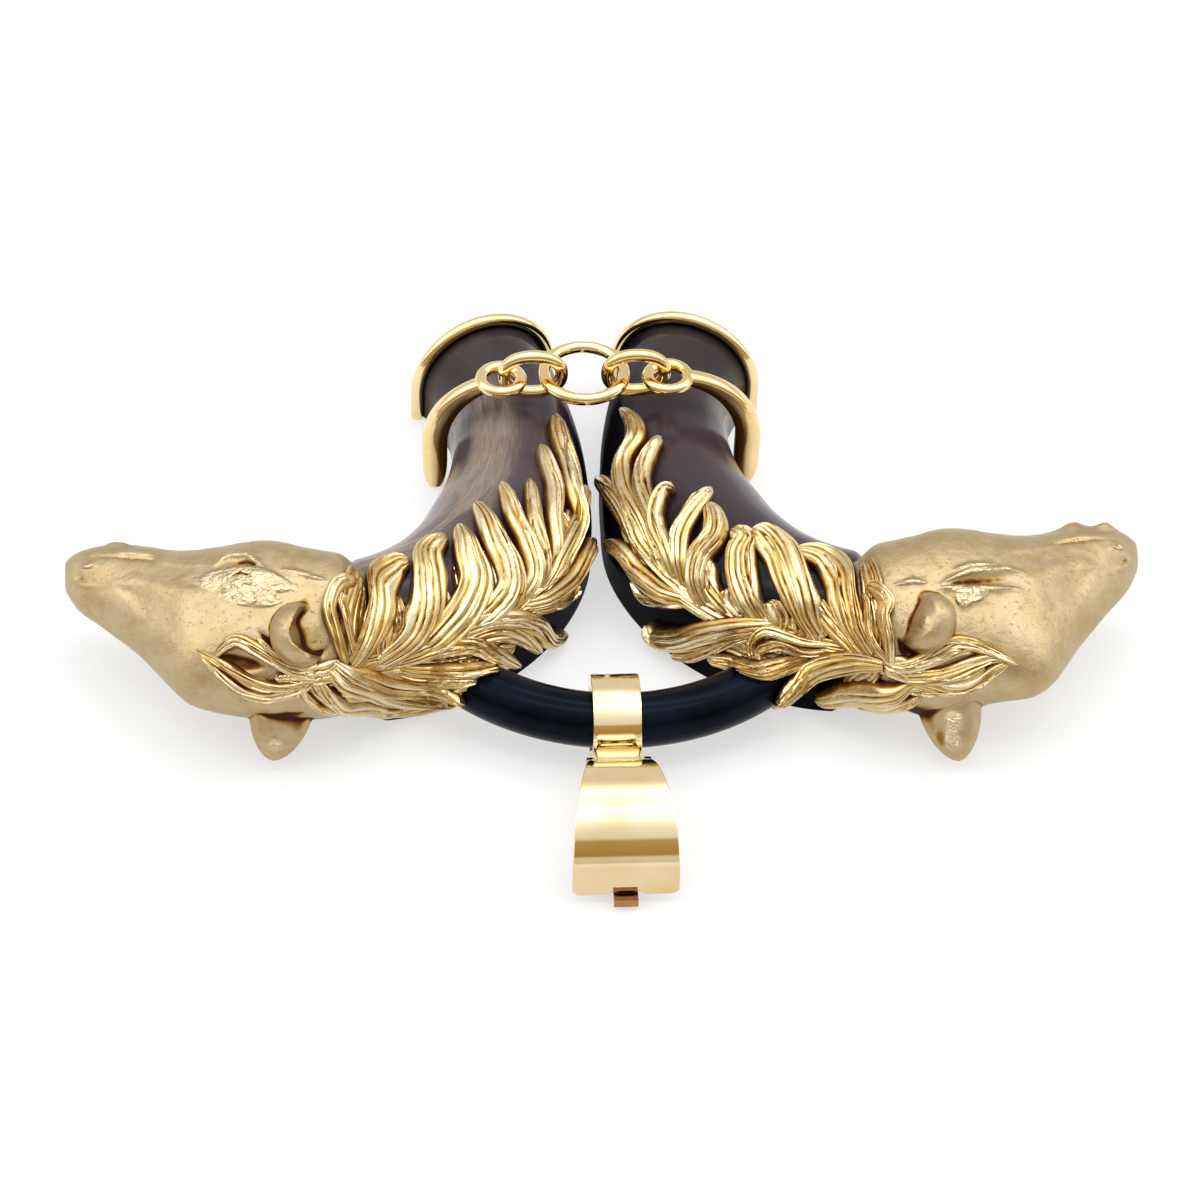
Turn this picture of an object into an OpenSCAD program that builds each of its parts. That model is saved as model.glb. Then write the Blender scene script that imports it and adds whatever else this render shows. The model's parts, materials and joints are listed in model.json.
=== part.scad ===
// Double horse head pendant: two cast heads on curved horn necks, flame manes,
// a horn arc below, a short chain above, and a tapered bail that opens.
// It lies on its flat back with +Z out of its front and the bail towards -Y.

/* [Rims] */
// Distance from the middle to the centre of each neck's rim
rim_x = 8.5; // [8.3:0.1:8.8]
// How far the rims lie from the middle of the chain ring, along the necks
rim_y = 24.6; // [24:0.1:25]
// Outward turn of each rim, in degrees
rim_turn = 19; // [15:1:22]
// Radius of the rim's arch, to the middle of its wire
rim_r = 5.9; // [5.85:0.05:6]
// Height of the rim's straight legs
rim_leg = 2.7; // [2.5:0.1:2.9]
// Thickness of the rim's wire
rim_wire = 1; // [0.8:0.1:1]

/* [Collars and chain] */
// Height of the chain's ring and eyelets above the back
chain_z = 11.1; // [11:0.1:11.4]
// Distance from the middle to the left eyelet
eyelet_x_left = 7.5; // [7.4:0.1:7.6]
// Distance from the middle to the right eyelet, which sits nearer to it
eyelet_x_right = 6; // [5.9:0.1:6.1]
// Place of the eyelets along the necks
eyelet_y = 14.3; // [14.2:0.1:14.5]
// Radius of an eyelet, to the middle of its wire
eyelet_r = 1.6; // [1.55:0.05:1.65]
// Thickness of the chain's wire
chain_wire = 1; // [0.8:0.1:1]
// Radius of the middle ring, to the middle of its wire
ring_r = 3.25; // [3.2:0.05:3.3]
// Radius of a link's round ends, to the middle of its wire
link_r = 1.8; // [1.7:0.05:1.85]
// Width of a collar's band
collar_w = 1.9; // [1.6:0.1:2]

/* [Arc and bail] */
// Radius of the horn arc, to the middle of its bar
arc_r = 17; // [16.8:0.1:17.2]
// Radius of the horn arc's round bar
arc_bar_r = 2.13; // [2:0.05:2.2]
// Lowest point of the arc's middle line, along the necks
arc_y = -17.2; // [-17.4:0.1:-17]
// Height of the arc's middle line above the back
arc_z = 3.9; // [3.8:0.1:4]
// Outer radius of the bail loop that rides on the arc
loop_r = 3.6; // [3.5:0.05:3.65]
// Bore radius of the bail loop
loop_bore_r = 2.62; // [2.55:0.01:2.7]
// Width of the bail loop
loop_w = 3.7; // [3.5:0.1:3.8]
// Distance from the arc's middle line to the bail's hinge pin
hinge_reach = 5.4; // [5.3:0.05:5.5]
// Width of the bail's broad end
shell_w = 7.8; // [7.6:0.1:8.2]
// Thickness of the bail's curved wall
shell_wall = 0.8; // [0.7:0.05:0.9]

/* [Heads] */
// Height of each head's middle plane above the back
head_z = 7; // [6.9:0.05:7.2]
// Clearance between a cast piece and the horn under it
seat_gap = 0.1; // [0.08:0.01:0.15]

/* [Hidden] */
gold = "#e6cf8f";
horn = "#3a2f30";
horn_blue = "#1c2233";
eps = 0.01;
// End of the clasp's tongue, the part nearest to -Y
tongue_y = -32.9;
// The origin lies under the middle of the whole piece, between the rims and the tongue
shift_y = -(rim_y + rim_r * sin(rim_turn) + rim_wire / 2 + tongue_y) / 2;

// Middle line of a neck in plan, from its rim to the head: x, y, half width, height
NECK = [
    [rim_x, rim_y, 5.3, 7.9],
    [6.7, 19.3, 4.95, 8.1],
    [6.1, 14.2, 5.3, 8.4],
    [6.3, 9, 5.85, 8.9],
    [7.2, 4, 6.6, 9.5],
    [9.3, -0.8, 6.6, 10],
    [12.6, -4.6, 6.3, 10.2],
    [16.5, -6.8, 5.9, 10.2],
    [20.5, -7.8, 5.4, 10.2]];
neck_leg_share = 0.36;
neck_rings = 25;
neck_steps = 14;

// Smooth curve through the rows of a table, at t from 0 to 1
function spline(rows, t) =
    let (last = len(rows) - 1, u = min(max(t, 0), 1) * last, i = min(floor(u), last - 1), f = u - i,
         p0 = rows[max(i - 1, 0)], p1 = rows[i], p2 = rows[i + 1], p3 = rows[min(i + 2, last)])
    0.5 * (2 * p1 + (p2 - p0) * f + (2 * p0 - 5 * p1 + 4 * p2 - p3) * f * f
           + (3 * p1 - p0 - 3 * p2 + p3) * f * f * f);
function unit(v) = v / norm(v);
function flat_dir(s) =
    let (a = spline(NECK, min(s + 0.01, 1)), b = spline(NECK, max(s - 0.01, 0))) unit([a[0] - b[0], a[1] - b[1]]);

// Point of the right neck's skin: s runs from rim to head, a is 0 on the outer side,
// 90 on the front and 180 on the inner side, and past those the sides drop to the back
function neck_at(s, a, out = 0) =
    let (r = spline(NECK, s), d = flat_dir(s), n = [-d[1], d[0]], leg = neck_leg_share * r[3],
         top = r[3] - leg, b = min(max(a, 0), 180), u = (r[2] + out) * cos(b),
         z = a < 0 ? leg * (30 + a) / 30 : a > 180 ? leg * (210 - a) / 30 : leg + (top + out) * sin(b))
    [r[0] + n[0] * u, r[1] + n[1] * u, z];
function neck_out(s, a) = unit(neck_at(s, a, 1) - neck_at(s, a) + [0, 0, 1e-4]);

module set_down() translate([0, shift_y, 0]) children();
// Solid through a list of closed rings that all have the same number of points
module loft(rings) {
    n = len(rings[0]);
    last = len(rings) - 1;
    polyhedron(points = [for (ring = rings) each ring], convexity = 6,
        faces = [[for (i = [n - 1:-1:0]) i], [for (i = [0:n - 1]) last * n + i],
                 for (k = [0:last - 1]) for (i = [0:n - 1]) let (j = (i + 1) % n)
                     each [[k * n + i, k * n + j, (k + 1) * n + j], [k * n + i, (k + 1) * n + j, (k + 1) * n + i]]]);
}

module neck_solid(grow = 0) loft([for (k = [0:neck_rings])
    let (s = k / neck_rings)
    concat([let (p = neck_at(s, 210, grow)) [p[0], p[1], grow > 0 ? -1 : 0]],
           [for (i = [neck_steps:-1:0]) neck_at(s, 180 * i / neck_steps, grow)],
           [let (p = neck_at(s, -30, grow)) [p[0], p[1], grow > 0 ? -1 : 0]])]);
module neck_right() color(horn) set_down() neck_solid();
module neck_left() color(horn) set_down() mirror([1, 0, 0]) neck_solid();

// Gold rim round the open end of a neck: an arch of wire on two straight legs
module rim_solid() translate([rim_x, rim_y, 0]) rotate([0, 0, -rim_turn]) {
    translate([0, 0, rim_leg]) rotate([90, 0, 0]) rotate_extrude(angle = 180, $fn = 48)
        translate([rim_r, 0]) circle(d = rim_wire, $fn = 24);
    for (side = [-1, 1]) translate([side * rim_r, 0, 0]) cylinder(d = rim_wire, h = rim_leg + eps, $fn = 24);
}
module rim_right() color(gold) set_down() rim_solid();
module rim_left() color(gold) set_down() mirror([1, 0, 0]) rim_solid();

// Half collar: a crescent bar that springs from a foot beside the neck, thins as it
// bends over the front and ends in an eyelet
collar_mid = [6.7, 4.5];
collar_r = chain_z + 0.55 - collar_mid[1];
collar_hollow = [5.7, 4.6];
collar_hollow_r = 6.1;
module collar_side(eyelet_x) difference() {
    union() {
        translate(collar_mid) circle(r = collar_r, $fn = 96);
        translate([collar_mid[0], 0]) square([collar_r, collar_mid[1]]);
    }
    translate(collar_hollow) circle(r = collar_hollow_r, $fn = 96);
    translate([collar_hollow[0] - collar_r, -1]) square([collar_r + collar_hollow_r, collar_hollow[1] + 1]);
    translate([-4, -4]) square([eyelet_x + 4 + eyelet_r, 20]);
    translate([-20, -10]) square([40, 10]);
}
module collar_solid(eyelet_x) {
    translate([0, eyelet_y + collar_w / 2, 0]) rotate([90, 0, 0]) linear_extrude(collar_w) collar_side(eyelet_x);
    translate([eyelet_x, eyelet_y, chain_z]) rotate_extrude($fn = 40)
        translate([eyelet_r, 0]) circle(d = chain_wire, $fn = 20);
}
module collar_right() color(gold) set_down() collar_solid(eyelet_x_right);
module collar_left() color(gold) set_down() mirror([1, 0, 0]) collar_solid(eyelet_x_left);

// Upright oval link between an eyelet and the middle ring
link_y = 14.55;
link_len = 4.65;
link_rise = 0.3;
module link_solid(eyelet_x) {
    half = link_len / 2 - link_r;
    translate([eyelet_x - 0.25 - link_len / 2, link_y, chain_z + link_rise]) rotate([90, 0, 0]) {
        for (side = [0, 1]) rotate([0, 0, side * 180]) translate([half, 0, 0]) rotate([0, 0, -90])
            rotate_extrude(angle = 180, $fn = 40) translate([link_r, 0]) circle(d = chain_wire, $fn = 20);
        for (up = [-1, 1]) translate([-half, up * link_r, 0]) rotate([0, 90, 0])
            cylinder(d = chain_wire, h = 2 * half, $fn = 20);
    }
}
module link_right() color(gold) set_down() link_solid(eyelet_x_right);
module link_left() color(gold) set_down() mirror([1, 0, 0]) link_solid(eyelet_x_left);

ring_y = 14.95;
ring_x = (eyelet_x_right - eyelet_x_left) / 2;
module ring_center() color(gold) set_down() translate([ring_x, ring_y, chain_z])
    rotate_extrude($fn = 64) translate([ring_r, 0]) circle(d = chain_wire, $fn = 24);

// Round horn bar bent between the necks, cut square to their sides at each end
arc_mid_x = 0.7;
arc_half_angle = 64;
arc_cut_s = 0.78;
module arc_bar(grow = 0, sides = 32) translate([arc_mid_x, arc_y + arc_r, arc_z])
    rotate([0, 0, -90 - arc_half_angle]) rotate_extrude(angle = 2 * arc_half_angle, $fn = 3 * sides)
        translate([arc_r, 0]) circle(r = arc_bar_r + grow, $fn = sides);
module horn_arc() color(horn_blue) set_down() difference() {
    arc_bar();
    for (side = [-1, 1]) {
        foot = neck_at(arc_cut_s, 180, seat_gap + 0.25);
        dir = flat_dir(arc_cut_s);
        translate([side * foot[0], foot[1], -1]) rotate([0, 0, side * atan2(dir[1], dir[0])])
            translate([-12, 0, 0]) cube([24, 14, 12]);
    }
}

// Bail loop: a ring round the arc with a knuckle for the hinge pin
pin_r = 0.4;
pin_y = arc_y - hinge_reach;
pin_z = arc_z - 0.2;
knuckle_r = 1.02;
knuckle_w = 3.3;
module bail_loop() color(gold) set_down() difference() {
    union() {
        translate([-loop_w / 2, arc_y, arc_z]) rotate([0, 90, 0]) cylinder(r = loop_r, h = loop_w, $fn = 64);
        translate([-knuckle_w / 2, pin_y, pin_z]) rotate([0, 90, 0]) cylinder(r = knuckle_r, h = knuckle_w, $fn = 40);
        translate([-knuckle_w / 2, pin_y, pin_z - 0.8]) cube([knuckle_w, hinge_reach - loop_bore_r - 0.4, 1.6]);
    }
    translate([-loop_w, arc_y, arc_z]) rotate([0, 90, 0]) cylinder(r = loop_bore_r, h = 2 * loop_w, $fn = 64);
    translate([-loop_w, pin_y, pin_z]) rotate([0, 90, 0]) cylinder(r = pin_r + 0.05, h = 2 * loop_w, $fn = 32);
}

// Side view of the bail shell, along its outer face: y, z
SHELL = [[-22.6, 5.3], [-23.5, 6.15], [-24.8, 6.85], [-26.4, 7.2], [-28.2, 6.95], [-29.9, 6.1],
         [-31.2, 4.7], [-32, 2.9], [-32.2, 0.95]];
shell_steps = 16;
function shell_pt(t, inward) =
    let (p = spline(SHELL, t), d = unit(spline(SHELL, min(t + 0.01, 1)) - spline(SHELL, max(t - 0.01, 0))))
    p + inward * [-d[1], d[0]];
module shell_side() polygon(concat([for (i = [0:shell_steps]) shell_pt(i / shell_steps, 0)],
                                   [for (i = [shell_steps:-1:0]) shell_pt(i / shell_steps, shell_wall)]));
// Plan of the bail shell: y, half width
SHELL_PLAN = [[-21, 2.3], [-22.6, 2.55], [-24, 2.95], [-26, 3.3], [-28, 3.65], [-30, 3.88], [-32, 4], [-33.6, 4]];
module shell_plan() polygon(concat([for (r = SHELL_PLAN) [r[1] * shell_w / 8, r[0]]],
    [for (i = [len(SHELL_PLAN) - 1:-1:0]) [-SHELL_PLAN[i][1] * shell_w / 8, SHELL_PLAN[i][0]]]));

clasp_pin_y = -24.4;
clasp_pin_z = 1.4;
cheek_in = knuckle_w / 2 + 0.2;
cheek_t = 0.6;
cheek_r = 1.3;
// Drawn as z against -y, because the side views are turned up to stand on edge
module along_x(x0, width) translate([x0, 0, 0]) rotate([90, 0, 90]) linear_extrude(width) children();
module cheek_side() difference() {
    union() {
        translate([pin_y, pin_z]) circle(r = cheek_r, $fn = 40);
        translate([clasp_pin_y, clasp_pin_z]) circle(r = 1.0, $fn = 40);
        polygon([[pin_y + 0.1, pin_z + cheek_r], [pin_y - 0.3, 5.3], [pin_y - 1.5, 5.9], [pin_y - 3, 6.3],
                 [-25.3, 5.3], [-25.3, clasp_pin_z + 0.3], [clasp_pin_y, clasp_pin_z - 0.95],
                 [pin_y + 0.65, pin_z - 1.12]]);
    }
    translate([pin_y, pin_z]) circle(r = pin_r + 0.02, $fn = 32);
    translate([clasp_pin_y, clasp_pin_z]) circle(r = pin_r + 0.02, $fn = 32);
}
module enhancer_shell() color(gold) set_down() difference() {
    union() {
        intersection() {
            along_x(-5, 10) shell_side();
            translate([0, 0, -1]) linear_extrude(12) shell_plan();
        }
        for (x0 = [-cheek_in - cheek_t, cheek_in]) along_x(x0, cheek_t) cheek_side();
    }
    translate([-1.25, -33, -1]) cube([2.5, 2, 2.7]);
}

module pin_at(y, z) translate([-cheek_in - cheek_t, y, z]) rotate([0, 90, 0])
    cylinder(r = pin_r, h = 2 * (cheek_in + cheek_t), $fn = 32);
module hinge_pin() color(gold) set_down() pin_at(pin_y, pin_z);
module clasp_pin() color(gold) set_down() pin_at(clasp_pin_y, clasp_pin_z);

// Back bar of the bail: it swings down on its own pin and its tongue shows at the broad end
arm_w = 2.6;
tongue_w = 1.8;
module clasp_arm() color(gold) set_down() difference() {
    union() {
        along_x(-arm_w / 2, arm_w) {
            translate([clasp_pin_y, clasp_pin_z]) circle(r = 0.95, $fn = 40);
            polygon([[clasp_pin_y - 0.1, clasp_pin_z - 0.9], [tongue_y + 1.8, 0.3], [tongue_y + 1.8, 1.05],
                     [-25.5, 1.05], [clasp_pin_y - 0.45, clasp_pin_z + 0.75]]);
        }
        along_x(-tongue_w / 2, tongue_w)
            polygon([[tongue_y + 2.4, 0.4], [tongue_y + 0.4, 0.25], [tongue_y, 0.4], [tongue_y, 1.1], [tongue_y + 2.4, 1]]);
    }
    translate([-arm_w, clasp_pin_y, clasp_pin_z]) rotate([0, 90, 0]) cylinder(r = pin_r + 0.05, h = 2 * arm_w, $fn = 32);
}

// Slices of a head from the poll to the nose: x, y of the middle, half depth, half width
HEAD = [
    [18.6, -10.4, 5.6, 5.5],
    [20.4, -10.8, 6.2, 6.1],
    [23, -10.9, 6.6, 6.3],
    [26, -10.6, 7.0, 6.2],
    [29.5, -10.2, 7.0, 5.6],
    [32, -9.7, 6.7, 5.0],
    [33.8, -8.5, 5.9, 4.4],
    [36, -6.6, 4.7, 3.8],
    [39, -4.9, 3.3, 3.0],
    [40.8, -4.2, 2.4, 2.1],
    [41.8, -3.6, 1.2, 1.2]];
// Extra depth of the right head's forehead at the same slices
FOREHEAD = [0, 0, 0, 0.1, 0.5, 1.3, 1.9, 1.7, 0.8, 0.2, 0];
head_rings = 21;
head_steps = 22;
// Point of the right head's skin: a is 0 on the forehead, 90 on the upper cheek and 180 on the jaw
function head_at(t, a, out = 0, full = 0) =
    let (r = spline(HEAD, t), narrow = 1 - 0.14 * cos(a), more = full * spline(FOREHEAD, t) * max(cos(a), 0))
    [r[0], r[1] - (r[2] + out + more) * cos(a), head_z + (r[3] + out) * narrow * sin(a)];
module head_body(full) loft([for (k = [0:head_rings])
    [for (i = [0:head_steps - 1]) head_at(k / head_rings, 360 * i / head_steps, 0, full)]]);

module bead(p, size, sides = 8) translate(p) sphere(d = size, $fn = sides);
module rod(p, q, d1, d2, sides = 8) hull() {
    bead(p, d1, sides);
    bead(q, d2, sides);
}
// Ear: base point, tip point, base width
module ear(base, tip, width) {
    mid = base + (tip - base) * 0.55;
    difference() {
        hull() {
            bead(base, width * 0.9, 10);
            bead(mid, width, 10);
            bead(tip, 0.9, 6);
        }
        translate((mid + tip) / 2 + [-1.3, -0.2, 0]) sphere(d = width * 0.62, $fn = 10);
    }
}

// Flame locks of a mane: s and a of the root, s and a halfway, s and a of the tip, width, rise
LOCKS = [
    [0.48, 138, 0.33, 122, 0.21, 143, 2.8, 1.2],
    [0.50, 134, 0.42, 116, 0.36, 100, 2.6, 1.2],
    [0.56, 152, 0.48, 165, 0.41, 184, 2.8, 1.2],
    [0.61, 148, 0.53, 128, 0.48, 103, 3.8, 1.4],
    [0.68, 148, 0.61, 116, 0.565, 88, 3.6, 1.5],
    [0.74, 152, 0.67, 114, 0.61, 91, 3.6, 1.4],
    [0.81, 150, 0.74, 112, 0.675, 86, 4.0, 1.6],
    [0.90, 150, 0.81, 112, 0.73, 82, 4.2, 1.6],
    [0.98, 150, 0.895, 112, 0.81, 80, 4.0, 1.6],
    [1.0, 142, 0.975, 108, 0.92, 78, 3.0, 1.4],
    [0.68, 156, 0.58, 174, 0.49, 190, 3.4, 1.4],
    [0.78, 158, 0.70, 180, 0.60, 204, 4.6, 1.6],
    [0.86, 165, 0.79, 188, 0.71, 202, 3.2, 1.3],
    [0.93, 160, 0.86, 168, 0.78, 178, 3.6, 1.5],
    [1.0, 168, 0.91, 184, 0.845, 204, 4.2, 1.6],
    [1.0, 186, 0.96, 195, 0.91, 202, 3.4, 1.4],
    [1.0, 156, 0.86, 160, 0.72, 156, 5.0, 1.7],
    [0.82, 154, 0.64, 156, 0.44, 144, 4.6, 1.3],
    [0.97, 176, 0.90, 176, 0.80, 186, 3.8, 1.4],
    [0.90, 172, 0.80, 174, 0.70, 182, 3.4, 1.3]];
lock_steps = 5;
// How far a lock's edges lie under the skin, its shoulders' share of its rise, and its tip's bead
lock_sink = 0.78;
lock_shoulder = 0.66;
lock_tip = 0.7;
function lock_sa(r, t) =
    let (root = [r[0], r[1]], tip = [r[4], r[5]], via = 2 * [r[2], r[3]] - (root + tip) / 2)
    (1 - t) * (1 - t) * root + 2 * t * (1 - t) * via + t * t * tip;
function lock_fade(t) = t < 0.3 ? 0.66 + 0.34 * sin(300 * t) : 1 - 0.8 * pow(max(t - 0.55, 0) / 0.45, 2);
function lock_ring(r, t) =
    let (p = lock_sa(r, t), q0 = lock_sa(r, max(t - 0.03, 0)), q1 = lock_sa(r, min(t + 0.03, 1)),
         at = neck_at(p[0], p[1]), up = neck_out(p[0], p[1]),
         along = unit(neck_at(q1[0], q1[1]) - neck_at(q0[0], q0[1])), across = unit(cross(along, up)),
         w = r[6] / 2 * lock_fade(t), h = r[7] * (0.4 + 0.6 * lock_fade(t)))
    [for (c = [[1, -lock_sink], [0.75, lock_shoulder], [0, 1], [-0.75, lock_shoulder], [-1, -lock_sink]])
        at + across * c[0] * w + up * (c[1] > 0 ? c[1] * h : c[1])];
// A lock is one swept solid with a small bead that rounds its tip
module lock(r) {
    loft([for (k = [0:lock_steps]) lock_ring(r, k / lock_steps)]);
    end = lock_ring(r, 1);
    back = lock_ring(r, 0.86);
    rod((end[0] + end[2] + end[4]) / 3, (back[0] + back[2] + back[4]) / 3, lock_tip, 0.9, 6);
}

mane_end = 19.4;
// The arc lies off centre, so a left mane, which is drawn as a right one, clears it mirrored
module mane_solid(left) difference() {
    for (r = LOCKS) lock(r);
    neck_solid(seat_gap);
    mirror([left, 0, 0]) arc_bar(seat_gap, 16);
    translate([0, -40, -5]) cube([60, 80, 5.1]);
    translate([-4.9, -20, -5]) cube([5, 60, 30]);
    translate([mane_end, -40, -5]) cube([20, 60, 30]);
    head_space();
}
// Room that a mane leaves round the rear end of the head and behind it
module head_space() translate([-seat_gap, 0, 0])
    loft([for (k = [0:6]) [for (i = [0:head_steps - 1]) head_at(k / 12, 360 * i / head_steps, seat_gap)]]);
module mane_right() color(gold) set_down() mane_solid(0);
module mane_left() color(gold) set_down() mirror([1, 0, 0]) mane_solid(1);

// Height of the chin's two rounds on the left and on the right head
chin_y = [-3, -2.5];
// Breadth of the ear beside the front and of the one beside the back
near_ear_w = 4.4;
far_ear_w = 4.2;
// full is 1 for the right head, whose forehead is fuller and whose far ear leans further out
module head_solid(full) difference() {
    union() {
        head_body(full);
        ear([23.6 - 0.4 * full, -14.2, head_z + 4.1], [24.5 - 0.4 * full, -17.2, head_z + 6.6], near_ear_w);
        ear([25.2 + 0.6 * full, -14.4, head_z - 3.3], [26 + 0.5 * full, -18 - 0.9 * full, head_z - 5.9], far_ear_w);
        // Forelock strands from the poll over the forehead
        for (r = [[19.8, 50, 25, 42, 32.6, 40, 2.3], [19.8, 32, 26, 30, 32.2, 36, 2.3], [19.8, 12, 25, 8, 30.5, 14, 2.3]])
            strand(r, full);
        // Chin, lower lip, brow and jaw
        for (x = [38.9 - 0.7 * full, 36 - 0.8 * full])
            rod([x, chin_y[full], head_z - 1], [x, chin_y[full], head_z + 1], 1.7, 1.7);
        for (side = [-1, 1]) {
            rod([28, -10.6, head_z + side * 4.9], [31, -9.8, head_z + side * 4.1], 2, 1.6);
            rod([23.8, -8, head_z + side * 3.9], [27.5, -7.4, head_z + side * 3.5], 4.6, 3.8);
        }
    }
    neck_solid(seat_gap);
    translate([0, -40, -5]) cube([60, 80, 5.1]);
}
brow_steps = 5;
function brow_ring(r, t, full) =
    let (p = brow(r, t, full), q0 = brow(r, max(t - 0.05, 0), full), q1 = brow(r, min(t + 0.05, 1), full),
         along = unit(q1 - q0),
         up = unit([0, p[1] - HEAD[4][1], p[2] - head_z]), across = unit(cross(along, up)), w = r[6] / 2 * lock_fade(t))
    [for (c = [[1, -0.5], [0.7, 0.45], [0, 0.75], [-0.7, 0.45], [-1, -0.5]]) p + across * c[0] * w + up * c[1] * w];
module strand(r, full) {
    loft([for (k = [0:brow_steps]) brow_ring(r, k / brow_steps, full)]);
    rod(brow(r, 0.9, full), brow(r, 1.01, full), 0.8, 0.6, 6);
}
function brow(r, t, full) =
    let (x = (1 - t) * (1 - t) * r[0] + 2 * t * (1 - t) * r[2] + t * t * r[4],
         a = (1 - t) * (1 - t) * r[1] + 2 * t * (1 - t) * r[3] + t * t * r[5])
    head_at(head_t(x), a, 0.1, full);
// Share of the head's length at which its slice lies at x
function head_t(x) = lookup(x, [for (i = [0:len(HEAD) - 1]) [HEAD[i][0], i / (len(HEAD) - 1)]]);
module head_right() color(gold) set_down() head_solid(1);
module head_left() color(gold) set_down() mirror([1, 0, 0]) head_solid(0);

neck_left();
neck_right();
horn_arc();
head_left();
head_right();
mane_left();
mane_right();
rim_left();
rim_right();
collar_left();
collar_right();
link_left();
link_right();
ring_center();
bail_loop();
enhancer_shell();
hinge_pin();
clasp_pin();
clasp_arm();
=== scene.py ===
"""Looks of a double horse head pendant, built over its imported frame.

The tables of places repeat the part's drawing: millimetres, with the right half drawn and
the left half mirrored. Everything that is made is in metres in the frame of the part.
"""
from __future__ import annotations

import json
import logging
import math
from contextlib import contextmanager
from dataclasses import dataclass, field
from enum import Enum
from typing import Any, Callable, Iterator, Protocol, Sequence

import bpy
import numpy as np
from mathutils import Matrix, Vector

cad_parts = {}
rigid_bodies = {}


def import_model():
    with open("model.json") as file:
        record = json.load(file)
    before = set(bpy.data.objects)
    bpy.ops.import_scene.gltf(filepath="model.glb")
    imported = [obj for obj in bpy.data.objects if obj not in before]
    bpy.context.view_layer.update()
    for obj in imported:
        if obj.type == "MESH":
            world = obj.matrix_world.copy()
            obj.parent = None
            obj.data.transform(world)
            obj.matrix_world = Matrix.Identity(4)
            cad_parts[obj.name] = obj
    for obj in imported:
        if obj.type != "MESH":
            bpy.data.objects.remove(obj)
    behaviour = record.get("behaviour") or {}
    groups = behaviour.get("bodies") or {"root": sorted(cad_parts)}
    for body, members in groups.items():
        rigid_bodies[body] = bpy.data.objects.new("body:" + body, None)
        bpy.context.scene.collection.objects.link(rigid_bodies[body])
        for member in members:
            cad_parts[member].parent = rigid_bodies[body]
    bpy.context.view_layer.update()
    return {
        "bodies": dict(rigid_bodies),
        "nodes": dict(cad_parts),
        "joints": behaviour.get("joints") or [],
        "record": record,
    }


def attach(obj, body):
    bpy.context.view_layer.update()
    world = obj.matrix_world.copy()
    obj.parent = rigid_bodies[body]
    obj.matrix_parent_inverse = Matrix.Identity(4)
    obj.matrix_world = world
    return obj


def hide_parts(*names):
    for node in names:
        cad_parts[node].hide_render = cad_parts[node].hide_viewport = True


LOG = logging.getLogger("pendant")
MM = 0.001
MM_PER_DEGREE = 0.105
RIM_Y, RIM_R, RIM_TURN, RIM_WIRE, TONGUE_Y = 24.6, 5.9, 19.0, 1.0, -32.9
SHIFT_Y = -(RIM_Y + RIM_R * math.sin(math.radians(RIM_TURN)) + RIM_WIRE / 2 + TONGUE_Y) / 2

Mesh = bpy.types.Object
Finish = bpy.types.Material
Colour = tuple[float, float, float]
Point = tuple[float, float, float]
Place = tuple[float, float]
Spots = tuple[tuple[float, float, float, float], ...]


class Side(Enum):
    """Half of the pendant, as seen in the photograph."""

    LEFT = -1
    RIGHT = 1

    @property
    def word(self) -> str:
        """Name of the half as the nodes spell it."""
        return self.name.lower()

    def placed(self, points: np.ndarray) -> np.ndarray:
        """Points of the drawing, put on this half in metres.

        Args:
            points: places in millimetres, drawn for the right half.

        Returns:
            The places in the frame of the part.
        """
        out = np.array(points, float) + [0.0, SHIFT_Y, 0.0]
        out[..., 0] *= self.value
        return out * MM


def spline(rows: np.ndarray, t: np.ndarray) -> np.ndarray:
    """Smooth curve through the rows of a table.

    Args:
        rows: one row for each knot.
        t: shares of the way along, from 0 to 1.

    Returns:
        One row for each share.
    """
    rows = np.asarray(rows, float)
    last = len(rows) - 1
    u = np.clip(np.asarray(t, float), 0, 1) * last
    i = np.minimum(u.astype(int), last - 1)
    f = (u - i)[..., None]
    p0, p1, p2, p3 = (rows[np.clip(i + k, 0, last)] for k in (-1, 0, 1, 2))
    square = (2 * p0 - 5 * p1 + 4 * p2 - p3) * f**2
    return 0.5 * (2 * p1 + (p2 - p0) * f + square + (3 * p1 - p0 - 3 * p2 + p3) * f**3)


def unit(v: np.ndarray) -> np.ndarray:
    """Vectors brought to length one."""
    return v / (np.linalg.norm(v, axis=-1, keepdims=True) + 1e-12)


def smooth_step(x: np.ndarray) -> np.ndarray:
    """Soft rise from 0 to 1 while x goes from 0 to 1."""
    x = np.clip(x, 0, 1)
    return x * x * (3 - 2 * x)


def bell(distance: np.ndarray, width: float | np.ndarray, sharp: float = 2) -> np.ndarray:
    """Bump of height 1 that has fallen to about a third at its width, on steeper flanks when it is sharp."""
    return np.exp(-((distance / width) ** sharp))


def squared(wave: np.ndarray, power: float | np.ndarray) -> np.ndarray:
    """Sine or cosine raised to a power with its sign kept, which squares a round below 1."""
    return np.sign(wave) * np.abs(wave) ** power


def arc(middle: Place, radius: float, degrees: np.ndarray) -> list[Place]:
    """Points of a flat round at these angles."""
    return [(middle[0] + radius * math.cos(a), middle[1] + radius * math.sin(a)) for a in np.radians(degrees)]


def round_turns(count: int) -> np.ndarray:
    """Angles of this many even steps round a circle."""
    return np.linspace(0, 2 * np.pi, count, endpoint=False)


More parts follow.
